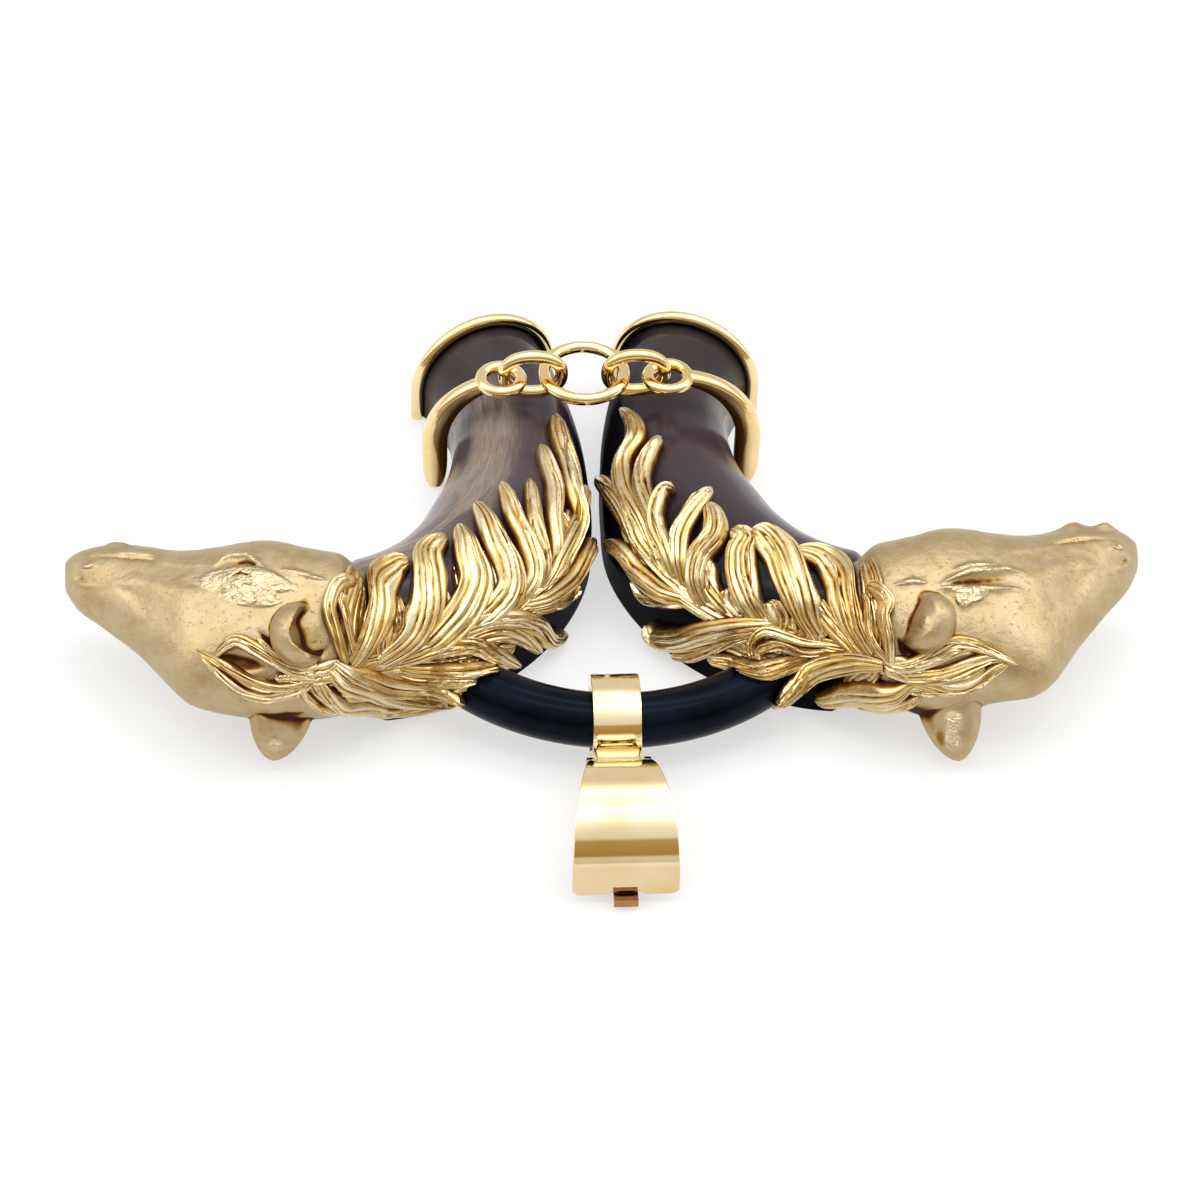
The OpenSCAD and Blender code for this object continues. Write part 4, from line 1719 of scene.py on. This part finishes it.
@dataclass
class BailShell:
    """Tapered curved front of the opening bail, with the two cheeks behind it.

    Attributes:
        finish: its material.
        side_view: y and z along its outer face, from the hinge to the broad end.
        plan: y and half width along it, as drawn for a width of plan_broad.
        broad: width of its broad end.
        plan_broad: width that the plan is drawn for.
        wall: thickness of the front.
        hinge: y and z of the hinge's pin.
        clasp: y and z of the clasp's pin.
        cheek_in: x of the inner face of a cheek.
        cheek_t: thickness of a cheek.
        cheek_r: radii of a cheek about the two pins.
        end_shade: share of the length at which the front turns darker, and by how much.
        across: columns of vertices over the front.
        along: rows of vertices along it.
    """

    finish: Finish
    side_view: tuple[Place, ...] = (
        (-22.6, 5.3), (-23.5, 6.15), (-24.8, 6.85), (-26.4, 7.2), (-28.2, 6.95),
        (-29.9, 6.1), (-31.2, 4.7), (-32, 2.9), (-32.2, 0.95))
    plan: tuple[Place, ...] = (
        (-21, 2.1), (-22.6, 2.3), (-24, 2.65), (-26, 3.1), (-28, 3.5), (-30, 3.84), (-32, 4.05),
        (-33.6, 4.07))
    broad: float = 7.8
    plan_broad: float = 8
    wall: float = 0.8
    hinge: Place = (-22.6, 3.7)
    clasp: Place = (-24.4, 1.4)
    cheek_in: float = 1.85
    cheek_t: float = 0.6
    cheek_r: Place = (1.3, 1.0)
    end_shade: Place = (0.79, 0.3)
    across: int = 61
    along: int = 90

    def build(self) -> Mesh:
        """Builds the shell and its cheeks as one piece, with its broad end a little darker.

        Returns:
            The front with its cheeks.
        """
        c = np.linspace(-1, 1, self.across)[None]
        dip = 0.035 * bell(c, 0.3, 4) + 0.03 * smooth_step((np.abs(c) - 0.88) / 0.12)
        t = np.linspace(0, 1, self.along)[:, None] * (1 - dip)
        view = spline(np.array(self.side_view), t)
        plan = np.array(self.plan)[::-1]
        half = np.interp(view[..., 0], plan[:, 0], plan[:, 1]) * self.broad / self.plan_broad
        places = np.stack([c * half, view[..., 0], view[..., 1]], -1)
        # painted shade: the broad end of the front is darkened through the inner mark
        shade = self.end_shade[1] * smooth_step((t - self.end_shade[0]) / 0.05)
        shell = Bench.drape("shell", Side.RIGHT.placed(places), {"inner": np.broadcast_to(shade, half.shape)})
        with Bench.editing():
            Bench.face_outwards()
        if shell.data.polygons[len(shell.data.polygons) // 2].normal.z < 0:
            shell.data.flip_normals()
        Bench.modify(shell, "SOLIDIFY", thickness=self.wall * MM, offset=-1)
        Bench.soften(shell, 0.13)
        cheeks = [self._cheek(low) for low in (-self.cheek_in - self.cheek_t, self.cheek_in)]
        piece = Bench.join("bail_front", cheeks + [shell])
        return Bench.coat(Bench.shade(piece, angle=30), self.finish)

    def _cheek(self, low: float) -> Mesh:
        """Builds one cheek plate from x = low.

        Args:
            low: x of its first face, in millimetres.

        Returns:
            The cheek.
        """
        y = self.hinge[0]
        top = arc(self.hinge, self.cheek_r[0], np.arange(-60, 96, 10))
        under_front = [(y - 0.3, 5.3), (y - 1.5, 5.9), (y - 3, 6.3), (-25.3, 5.3)]
        foot = arc(self.clasp, self.cheek_r[1], np.arange(150, 331, 12))
        cheek = Bench.plate("cheek", top + under_front + foot, low, low + self.cheek_t)
        Bench.soften(cheek, 0.08)
        return cheek


@dataclass(frozen=True)
class Studio:
    """Camera, lights, floor and surroundings.

    Attributes:
        target: place that the camera looks at.
        distance: how far back the camera is.
        elevation: angle of the camera above the floor.
        azimuth: angle of the camera round the pendant.
        roll: turn of the camera about its line of sight.
        lens: focal length on a sensor of 36 mm.
        brightest: brightness of the brightest band.
        bands: angle from the front over the top, and light of the surroundings there.
        paper: colours between which the floor varies.
        glow: light that the floor gives of itself, so that it stays near white.
        lamps: name, place, size and power of each lamp.
    """

    target: Point = (0.0, 0.0029716, 0.0)
    distance: float = 0.3
    elevation: float = 44.0
    azimuth: float = -95.0
    roll: float = 2.4
    lens: float = 112.5
    brightest: float = 1.9
    bands: tuple[tuple[float, Colour], ...] = (
        (0, (0.7, 0.69, 0.68)), (8, (0.7, 0.69, 0.68)), (11, (0.4, 0.25, 0.08)), (33, (0.48, 0.36, 0.17)),
        (37, (0.8, 0.8, 0.82)), (52, (0.95, 0.98, 1.0)), (62, (1.2, 1.2, 1.2)), (71, (1.9, 1.9, 1.9)),
        (116, (1.9, 1.9, 1.9)), (126, (1.0, 1.0, 0.98)), (134, (0.8, 0.77, 0.74)), (180, (0.78, 0.76, 0.73)))
    paper: tuple[Colour, Colour] = ((0.32, 0.32, 0.32), (0.35, 0.35, 0.35))
    glow: float = 0.58
    lamps: tuple[tuple[str, Point, Place, float], ...] = (
        ("high_front", (0.0, -0.1, 0.59), (0.5, 0.06), 0.4),
        ("high_back", (0.1, 0.16, 0.58), (0.4, 0.06), 0.3),
        ("left", (-0.45, -0.06, 0.4), (0.15, 0.15), 0.35),
        ("right", (0.45, 0.02, 0.4), (0.15, 0.15), 0.3),
    )

    def build(self) -> None:
        """Sets up the whole studio."""
        self._camera()
        self._floor()
        self._lights()
        self._world()

    def _camera(self) -> None:
        """Adds the camera at the photograph's angle."""
        e, a, r = (math.radians(v) for v in (self.elevation, self.azimuth, self.roll))
        back = Vector((math.cos(e) * math.cos(a), math.cos(e) * math.sin(a), math.sin(e)))
        right = Vector((0, 0, 1)).cross(back).normalized()
        up = back.cross(right)
        turned = right * math.cos(r) + up * math.sin(r)
        up = up * math.cos(r) - right * math.sin(r)
        bpy.ops.object.camera_add(location=Vector(self.target) + back * self.distance)
        camera = bpy.context.object
        camera.rotation_mode = "QUATERNION"
        camera.rotation_quaternion = Matrix((turned, up, back)).transposed().to_quaternion()
        camera.data.lens = self.lens
        camera.data.sensor_width = 36.0
        camera.data.clip_start = 0.01
        bpy.context.scene.camera = camera

    def _floor(self) -> None:
        """Adds the pale floor."""
        bpy.ops.mesh.primitive_plane_add(size=3.0, location=(0, 0, -0.02 * MM))
        floor = bpy.context.object
        floor.name = "floor"
        g = Graph("paper")
        tone = g.noise(40, 3, 0.5)
        floor.data.materials.append(g.finish(
            Base_Color=g.mix(tone, *self.paper),
            Roughness=0.75 + tone * 0.1,
            Specular_IOR_Level=0.1,
            Emission_Color=(1.0, 1.0, 1.0),
            Emission_Strength=self.glow))

    def _lights(self) -> None:
        """Adds lamps high up, where the bright band of the surroundings hides their mirror images."""
        for name, at, size, power in self.lamps:
            bpy.ops.object.light_add(type="AREA", location=at)
            lamp = bpy.context.object
            lamp.name = name
            lamp.data.shape = "RECTANGLE"
            lamp.data.size, lamp.data.size_y = size
            lamp.data.energy = power
            lamp.data.color = (1.0, 0.99, 0.97)
            lamp.rotation_euler = (-Vector(at)).to_track_quat("-Z", "Y").to_euler()

    def _world(self) -> None:
        """Gives surroundings in bands from the front floor line over the top to the back one."""
        g = Graph("surround", world=True)
        place = g.node("ShaderNodeTexCoord", output="Generated")
        back, up = (g.node("ShaderNodeSeparateXYZ", None, {0: place}, output=axis) for axis in ("Y", "Z"))
        angle = g.node("ShaderNodeMath", {"operation": "ARCTAN2"}, {0: up, 1: 0.0 - back}) / math.pi
        stops = [(degrees / 180, tuple(c / self.brightest for c in colour)) for degrees, colour in self.bands]
        bpy.context.scene.world = g.finish(Color=g.ramp(stops, angle), Strength=self.brightest)


FACE = Stroke.table(
    (3.4, 0.5, 2, 26.2, 128),
    (0.22, -0.2, 2, 39.8, 96, 36.3, 101, 34, 109),
    (0.35, 0.14, 2, 38.8, 104, 35.6, 108, 32, 108, 30, 105),
    (0.5, -0.22, 2, 40.4, 60),
    (0.35, 0.16, 2, 39.4, 52, 40.4, 48, 41.2, 58),
    (0.4, 0.18, 2, 40.4, 74, 39.8, 84, 39.1, 79),
    (1.6, -0.22, 2, 30.5, 58, 34, 56, 37, 60),
    (0.8, 0.2, 2, 30.6, 83, 33.5, 82, 36, 74, 38, 62),
)
PITS = Stroke.table(*((0.09, 0.9, 2, *place) for place in (
    (39.5, 54), (40, 38), (38.8, 47), (39.3, 30), (38.4, 59), (37.8, 71), (36.1, 38), (40.3, 64),
    (37.5, 45), (39, 68), (38, 36), (40.6, 50), (33, 66), (31, 118))))
# burnish with a painted highlight on the nostril's facet
MUZZLE_HIGHLIGHT = Stroke.table((0.42, 1, 4, 40.3, 76, 39.6, 83))
LEFT_FACE = Face(
    strokes=FACE + Stroke.table(
        (0.9, 0.3, 2, 36.8, 130, 38.6, 126),
        (0.24, 0.34, 2, 30.2, 104, 29, 110, 27.6, 108, 26.2, 97),
        (0.22, -0.2, 2, 28.7, 104, 27.5, 103.5, 26.8, 99),
        (1.05, 0.32, 4, 29.8, 91, 27.4, 89, 24.6, 83),
        (0.6, 0.2, 4, 28.6, 80, 27, 77, 25.6, 73),
        (0.11, -0.2, 2, 28.9, 91, 28.1, 93.5, 27, 89),
        (0.14, -0.14, 2, 30.3, 85, 28.6, 82, 26.8, 80),
        (0.13, -0.14, 2, 29.6, 79, 28.2, 76),
        (0.13, -0.12, 2, 28.6, 74, 27.2, 71),
        (0.14, -0.1, 2, 27.6, 86, 25.6, 80, 25.2, 74),
        (0.22, 0.16, 2, 25.2, 96, 23.4, 94, 21.5, 89),
        (0.16, 0.12, 2, 24.8, 92, 23.2, 89),
        (0.36, -0.42, 2, 26.8, 55, 25.6, 43, 24.3, 35, 23, 34, 21.6, 42),
        (0.6, -0.35, 4, 26.4, 31, 28.4, 34, 30.2, 38),
    ),
    # pits and patina, with painted shade in the grooves and under the eyelid ridge
    stains=PITS + Stroke.table(
        (1.4, 0.66, 4, 25.6, 31, 28, 33.5, 30.4, 38),
        (0.2, 0.3, 2, 28.7, 104, 27.5, 104, 26.8, 99),
        (0.12, 0.8, 2, 28.9, 91, 28.1, 93.5, 27, 89),
        (0.34, 1, 2, 26.8, 54, 25.6, 42, 24.3, 34, 23, 33, 21.6, 41),
        (0.4, 1, 2, 27.4, -14, 25.2, -15, 23, -12),
    ),
    # burnished spots that carry painted highlights on the eye, brow and muzzle
    burnish=MUZZLE_HIGHLIGHT + Stroke.table(
        (1.05, 1.1, 6, 31.4, 92, 28.6, 90.5, 24, 83),
        (0.75, 1.1, 6, 29.6, 80, 27.2, 77, 25, 73),
        (0.24, 1.1, 2, 29.9, 104, 29, 109.5, 27.7, 108, 26.4, 98),
        (0.26, 0.8, 2, 25.2, 96, 23.4, 94, 21.5, 89),
        (0.35, 0.8, 2, 37.6, 105, 34.6, 112),
    ),
    # dark patches paint shade about the ears; shine patches are burnish with painted highlights
    ears=(
        Ear((23.3, -13.9, 10.5), (24.4, -17.1, 13.4), 4.9, (-1.0, 0.1, 0.3), 2.0,
            dark=((0.5, 0.1, 1.5, 0.9), (0.0, -0.9, 1.0, 0.7)), shine=((0.75, 0.6, 0.6, 1.0),)),
        Ear((25.0, -15.3, 5.5), (26.0, -18.1, 1.2), 4.9, (-0.3, -0.8, 0.7), 0.8, 0.15, 1.6,
            dark=((0.25, 0.1, 1.3, 0.9), (0.4, 0.9, 1.0, 0.7)), shine=((0.72, -0.1, 0.7, 0.9),)),
    ),
    forelock=Lock.table(
        (1.2, 0.8, 3, 0.1, 105, 154, 110, 153, 118, 140, 124, 131, 127, 134, 130, 142),
        (0.8, 0.7, 2, 0.1, 105, 150, 110, 149, 115, 142, 120, 129),
        (1, 0.8, 2, 0.1, 105, 159, 111, 162, 117, 163, 123, 157, 129, 145, 134, 138),
        (0.9, 0.7, 2, 0.1, 106, 163, 111, 167, 117, 170, 123, 168, 130, 150, 133, 141),
        (1.1, 0.7, 2, 0, 105, 156, 111, 157, 116, 156),
        (1.1, 0.6, 2, 0, 107, 160, 110, 167, 114, 170),
        (1.3, 1.4, 3, 0.1, 99, 151, 101, 133, 103, 115, 102, 103, 100, 96, 96, 94),
        (1, 1, 3, 0, 97, 150, 98, 135, 99, 119, 100, 108, 99, 103),
        (0.9, 0.8, 2, 0, 111, 163, 108, 176, 105, 187, 101, 199),
        (1, 0.8, 2, 0, 108, 162, 105, 175, 101, 189, 96, 203),
        (2.2, 0.6, 4, 0, 99, 152, 104, 157, 108, 157),
    ),
)
RIGHT_FACE = Face(
    strokes=FACE + Stroke.table(
        (1.1, 0.5, 2, 36.6, 134),
        (0.9, 0.5, 2, 39.3, 128),
        (2.6, 0.9, 2, 25.2, -38),
        (0.3, 0.42, 2, 24.4, 76, 27.2, 84.5, 30, 87, 31.4, 86),
        (0.28, 0.34, 2, 24.3, 74, 27, 73, 31, 74),
        (0.3, -0.16, 2, 25.4, 77, 27.4, 79, 30.4, 81),
        (0.22, 0.24, 2, 25.7, 86, 27.3, 89.5, 29.4, 92),
        (0.7, 0.2, 4, 25.7, 69, 27.2, 66),
        (0.55, 0.2, 4, 26.2, 68, 28.2, 69),
        (0.25, 0.18, 2, 21, 77, 22.7, 80, 23.8, 78),
        (0.4, -0.45, 2, 21.3, 39, 21.8, 29, 23.2, 34, 24.8, 40),
    ),
    # pits and patina, with painted shade in the grooves and beneath the ear
    stains=PITS + Stroke.table(
        (0.24, 0.35, 2, 25.4, 77, 27.2, 79, 29.6, 81),
        (0.42, 1.2, 2, 21, 42, 21.6, 30, 23.2, 33, 24.8, 39),
        (1, 0.8, 4, 24.4, -30, 25.2, -34),
        (0.4, 0.6, 2, 26, 25, 28, 20),
    ),
    # burnished spots that carry painted highlights on the eye, brow and muzzle
    burnish=MUZZLE_HIGHLIGHT + Stroke.table(
        (0.26, 1.1, 2, 24.6, 76.5, 27.2, 85, 30, 87.5, 31.4, 86),
        (0.24, 1, 2, 24.5, 73.5, 27, 73, 31, 74),
        (0.85, 1, 6, 25.7, 69, 27.2, 66),
        (0.55, 1, 6, 26.2, 68, 28.2, 69),
        (0.2, 0.7, 2, 25.7, 86, 27.3, 89.5, 29.4, 92),
        (0.28, 0.8, 2, 21, 77, 22.7, 80, 23.8, 78),
        (0.5, 0.9, 2, 36, 131, 37, 134),
    ),
    # dark patches paint shade about the ears; shine patches are burnish with painted highlights
    ears=(
        Ear((23.1, -13.8, 10.4), (24.0, -17.0, 13.4), 4.7, (-1.0, 0.7, -0.1), 0.9, 0.35, 2.2,
            dark=((-0.1, -0.7, 1.2, 0.9), (0.45, 0.0, 1.0, 0.4)), shine=((0.8, 0.1, 0.6, 1.0),)),
        Ear((25.4, -15.6, 5.4), (26.4, -19.6, 1.1), 5.0, (-0.5, -0.8, 0.6), 0.6, 0.15, 1.6,
            dark=((0.1, 0.7, 1.6, 0.9), (0.35, 0.9, 1.4, 0.9)),
            shine=((0.45, -0.2, 0.8, 1.1), (0.7, 0.0, 0.8, 1.1))),
    ),
    forelock=Lock.table(
        (1.3, 0.8, 3, 0.1, 100, 162, 106, 156, 111, 148, 116, 141, 123, 145, 131, 155),
        (1.1, 0.8, 3, 0.1, 100, 165, 106, 158, 111, 152, 116, 146, 120, 146),
        (1.2, 0.8, 3, 0.1, 101, 170, 107, 166, 113, 164, 119, 156, 125, 150, 129, 152),
        (1.2, 0.8, 3, 0.1, 104, 174, 110, 174, 115, 176, 120, 172, 125, 160, 129, 153),
        (1.1, 0.7, 3, 0, 103, 167, 109, 169, 114, 168, 119, 165, 123, 158),
        (1, 0.5, 2, 0, 104, 179, 109, 181, 114, 182),
        (1.3, 1.4, 3, 0.1, 101, 159, 100, 140, 99, 125, 100, 116, 98, 109, 96, 106),
        (1, 1, 3, 0, 100, 156, 97, 144, 96, 132, 96, 118, 95, 112),
        (2.2, 0.6, 4, 0, 99, 160, 104, 163, 109, 163),
    ),
)
LEFT_LOCKS = Lock.table(
    (3.2, 0.6, 7, 0, 102, 158, 90, 158, 80, 152, 70, 150, 60, 148, 50, 146, 42, 142),
    (5.4, 0.7, 9, 0, 102, 178, 93, 186, 83, 190, 73, 194),
    (3.2, 0.5, 5, 0, 98, 153, 98, 125, 97, 100, 96, 80),
    (3.2, 0.5, 5, 0, 98, 153, 96, 175, 94, 203),
    (3.4, 0.7, 6, 0, 92, 156, 91, 132, 90, 106),
    (3.4, 0.7, 6, 0, 86, 156, 84, 132, 83, 104),
    (3.4, 0.7, 6, 0, 79, 152, 76, 130, 74, 104),
    (3.2, 0.7, 6, 0, 73, 152, 70, 130, 68, 106),
    (2.8, 0.7, 5, 0, 68, 152, 63, 136, 60, 116),
    (2.6, 0.7, 5, 0, 63, 154, 56, 142, 53, 128),
    (2.6, 0.7, 5, 0, 74, 158, 66, 160, 58, 160),
    (3.4, 0.7, 6, 0, 90, 164, 80, 172, 72, 180),
    (2.9, 1.6, 5, 0.2, 98, 153, 95, 139, 92, 120, 91, 101, 88, 92, 84, 91),
    (2.9, 1.5, 5, 0.3, 93, 159, 89, 145, 85, 126, 82, 108, 79, 90, 73, 85),
    (2.9, 1.5, 5, 0.3, 90, 158, 85, 149, 79, 137, 75, 123, 73, 105, 69, 84),
    (2.7, 1.5, 5, 0.3, 85, 152, 76, 146, 71, 140, 69, 127, 67, 106, 61, 80),
    (1.8, 1.3, 4, 0.3, 71, 152, 66, 141, 63, 122, 60, 105, 53, 87),
    (1.6, 1.3, 3, 0.3, 66, 156, 63, 139, 60, 124, 56, 113, 50, 102),
    (1.5, 1.3, 3, 0.4, 63, 156, 59, 139, 55, 127, 49, 120, 44, 112, 39, 105),
    (1.9, 1.3, 4, 0.4, 58, 157, 51, 146, 47, 135, 40, 129, 34, 122, 28, 118),
    (1.4, 1.1, 3, 0.1, 67, 159, 61, 147, 54, 144, 48, 146, 42, 147),
    (1.6, 1.2, 4, 0.2, 71, 153, 65, 162, 60, 166, 55, 165, 50, 166),
    (0.8, 0.9, 2, 0.2, 69, 163, 64, 173, 60, 178, 58, 176),
    (1.8, 1.4, 4, 0.3, 87, 155, 79, 147, 74, 153, 69, 171, 66, 195, 62, 203),
    (1.6, 1.2, 3, 0.3, 85, 159, 77, 158, 72, 171, 68, 198),
    (1.6, 1.3, 4, 0.3, 91, 161, 87, 155, 80, 159, 76, 175, 72, 197),
    (1.4, 1.2, 4, 0.2, 91, 164, 87, 169, 81, 176, 76, 183, 73, 191),
    (1.4, 1.1, 4, 0.1, 91, 170, 87, 176, 83, 183, 79, 186),
    (1.4, 1.4, 3, 0.2, 102, 149, 97, 161, 92, 176, 87, 184, 84, 193, 81, 204),
    (1.4, 1.2, 3, 0.1, 104, 152, 99, 168, 92, 188, 87, 197, 82, 205),
    (1.3, 1, 3, 0, 107, 157, 103, 174, 99, 194, 93, 204, 90, 199),
)
RIGHT_LOCKS = Lock.table(
    (3, 0.6, 7, 0, 102, 162, 90, 158, 80, 152, 70, 150, 60, 148, 50, 142, 42, 134),
    (2.8, 0.5, 5, 0, 98, 155, 98, 130, 97, 104, 96, 80),
    (2.8, 0.5, 5, 0, 98, 158, 96, 178, 94, 203),
    (3, 0.6, 5, 0, 90, 154, 88, 142, 87, 132),
    (3, 0.6, 5, 0, 84, 152, 82, 142, 80, 133),
    (2.8, 0.6, 5, 0, 78, 152, 75, 144, 73, 137),
    (2.6, 0.6, 5, 0, 72, 154, 68, 146, 65, 139),
    (2.2, 0.6, 4, 0, 66, 152, 59, 144, 52, 138),
    (2.8, 0.6, 5, 0, 90, 164, 80, 170, 72, 172),
    (1.8, 1.3, 4, 0.4, 61, 147, 54, 136, 45, 136, 39, 132, 35, 119, 30, 119, 25, 129),
    (1.6, 1.3, 3, 0.4, 63, 142, 57, 128, 49, 124, 45, 119, 41, 110, 38, 100),
    (1.8, 1.3, 4, 0.4, 61, 150, 55, 144, 49, 143, 43, 149, 37, 159),
    (1.6, 1.3, 3, 0.4, 66, 151, 62, 136, 57, 130, 54, 122, 52, 112, 53, 106),
    (1.8, 1.3, 4, 0.4, 68, 151, 65, 136, 62, 123, 60, 109, 58, 96, 57, 87),
    (2.3, 1.4, 5, 0.3, 72, 156, 69, 141, 67, 125, 66.5, 110, 64, 101, 60, 96),
    (2.6, 1.4, 5, 0.3, 81, 148, 78, 137, 75.5, 125, 72.5, 110, 71, 101, 68, 100),
    (3.1, 1.5, 6, 0.3, 90, 149, 87, 130, 83, 112, 79, 97, 74, 91, 71, 94),
    (2.8, 1.5, 6, 0.2, 97, 154, 94, 136, 92, 117, 91, 102, 88, 91, 81, 90),
    (1.7, 1, 4, 0, 96, 158, 92.5, 146, 90, 133, 88.5, 122),
    (1.5, 1, 3, 0, 76, 152, 72, 141, 70, 131, 68.5, 124),
    (1.9, 1.3, 4, 0.2, 69, 156, 64, 161, 59, 162, 55, 161, 50, 170),
    (1, 0.9, 2, 0.1, 69, 158, 65, 170, 61, 176, 58.5, 171),
    (2.1, 1.4, 5, 0.3, 83, 147, 78, 154, 73, 170, 69, 187, 65, 198, 63, 193),
    (1.2, 1.2, 3, 0.2, 82, 153, 77, 165, 74, 180, 71, 195, 68, 202),
    (1.8, 1.3, 5, 0.2, 90, 163, 85, 172, 81, 181, 77, 182, 74, 186),
    (1, 1.4, 2, 0.3, 91, 153, 88, 152, 83, 150, 81, 153, 80, 162, 80, 170),
    (1.1, 1.1, 3, 0.1, 91, 158, 88, 159, 84, 158, 81, 164, 81, 173),
    (2, 1.4, 5, 0.3, 99, 162, 94, 163, 90, 170, 88, 184, 86, 197, 84, 208),
    (1.8, 1.4, 5, 0.2, 106, 177, 99, 187, 94, 195, 90, 197),
    (1.1, 1, 3, 0.1, 109, 187, 104, 197, 99, 213, 95, 208),
)


class Maker(Protocol):
    """Anything that builds one piece."""

    def build(self) -> Mesh:
        """Builds the piece."""


@dataclass
class Pendant:
    """The whole pendant, dressed piece by piece.

    Attributes:
        frame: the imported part.
        finishes: its materials by name.
        eyelets: x of each collar's eyelet.
        eyelet_place: y and z of both eyelets.
    """

    frame: dict[str, Any]
    finishes: dict[str, Finish] = field(default_factory=dict)
    eyelets: dict[Side, float] = field(default_factory=lambda: {Side.LEFT: 7.5, Side.RIGHT: 6.0})
    eyelet_place: Place = (14.3, 11.1)

    def build(self) -> None:
        """Builds and dresses every piece."""
        self._mix_finishes()
        for side in Side:
            for maker, node, slot in self._half(side):
                self._add(maker, "root", f"{node}_{side.word}")
        mirror = self.finishes["mirror_gold"]
        self._add(BailLoop(mirror), "loop", "bail_loop")
        self._add(BailShell(mirror), "bail", "enhancer_shell")
        self._dress_nodes()

    def _half(self, side: Side) -> tuple[tuple[Maker, str, str], ...]:
        """Makers of the pieces of one half.

        Args:
            side: which half.

        Returns:
            Each maker with the word of its node and its slot.
        """
        names = ("cast_gold", "mane_gold", "polished_gold", f"neck_horn_{side.word}")
        cast, hair, polished, horn = (self.finishes[name] for name in names)
        face, locks = (RIGHT_FACE, RIGHT_LOCKS) if side is Side.RIGHT else (LEFT_FACE, LEFT_LOCKS)
        eyelet_x = self.eyelets[side]
        return (
            (HornNeck(side, horn), "neck", "brown_horn"),
            (HorseHead(side, cast, hair, face), "head", "cast_gold"),
            (Mane(side, hair, locks), "mane", "cast_gold"),
            (ChainLink(side, polished, eyelet_x), "link", "polished_gold"),
            (Collar(side, polished, (eyelet_x, *self.eyelet_place)), "collar", "polished_gold"),
        )

    def _mix_finishes(self) -> None:
        """Makes every material once."""
        recipes = (
            CastGold("cast_gold", (0.52, 0.415, 0.25), (0.46, 0.345, 0.175), (0.82, 0.7, 0.46), 0.46, 0.07),
            CastGold("mane_gold", (0.74, 0.63, 0.43), (0.68, 0.54, 0.3), (0.95, 0.84, 0.56),
                     0.27, 0.012, 0.03, 0.12),
            PolishedGold("polished_gold"),
            PolishedGold("mirror_gold", (0.93, 0.77, 0.48), (0.88, 0.68, 0.34), 0.07),
            # painted shade: a darker copy of the polished gold, used for the clasp arm
            PolishedGold("shaded_gold", (0.42, 0.22, 0.09), (0.3, 0.12, 0.04), 0.15),
            NeckHorn("neck_horn_left", (0.068, 0.046, 0.055), (0.16, 0.13, 0.125), (0.34, 0.265, 0.19),
                     0.38, 0.15, 0.8, 0.66, 0.6),
            NeckHorn("neck_horn_right", (0.042, 0.029, 0.036), (0.17, 0.13, 0.105), (0.22, 0.17, 0.14),
                     0.2, 0.08, 0.25, 0.56, 0.3),
            ArcHorn(),
        )
        for recipe in recipes:
            self.finishes[recipe.name] = recipe.build()

    def _add(self, maker: Maker, body: str, node: str) -> None:
        """Builds a piece and puts it in place of its node.

        Args:
            maker: what builds the piece.
            body: body that the piece rides on.
            node: node that the piece stands for.
        """
        piece = maker.build()
        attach(piece, body)
        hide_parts(node)
        LOG.info("%s stands for %s, %d faces", piece.name, node, len(piece.data.polygons))

    def _dress_nodes(self) -> None:
        """Gives the nodes that stay their finish."""
        # the clasp arm gets the painted-shade copy of the polished gold
        others = {"horn_arc": "black_horn", "clasp_arm": "shaded_gold"}
        for name, node in self.frame["nodes"].items():
            if node.hide_render:
                continue
            finish = others.get(name, "polished_gold")
            Bench.shade(Bench.coat(node, self.finishes[finish]), angle=35)
            LOG.info("%s keeps its solid, finish %s", name, finish)


def main() -> None:
    """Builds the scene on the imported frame."""
    logging.basicConfig(level=logging.INFO, format="%(name)s: %(message)s")
    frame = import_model()
    Studio().build()
    Pendant(frame).build()
    bpy.context.scene.view_settings.view_transform = "Standard"
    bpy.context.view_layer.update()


if __name__ == "__main__":
    main()
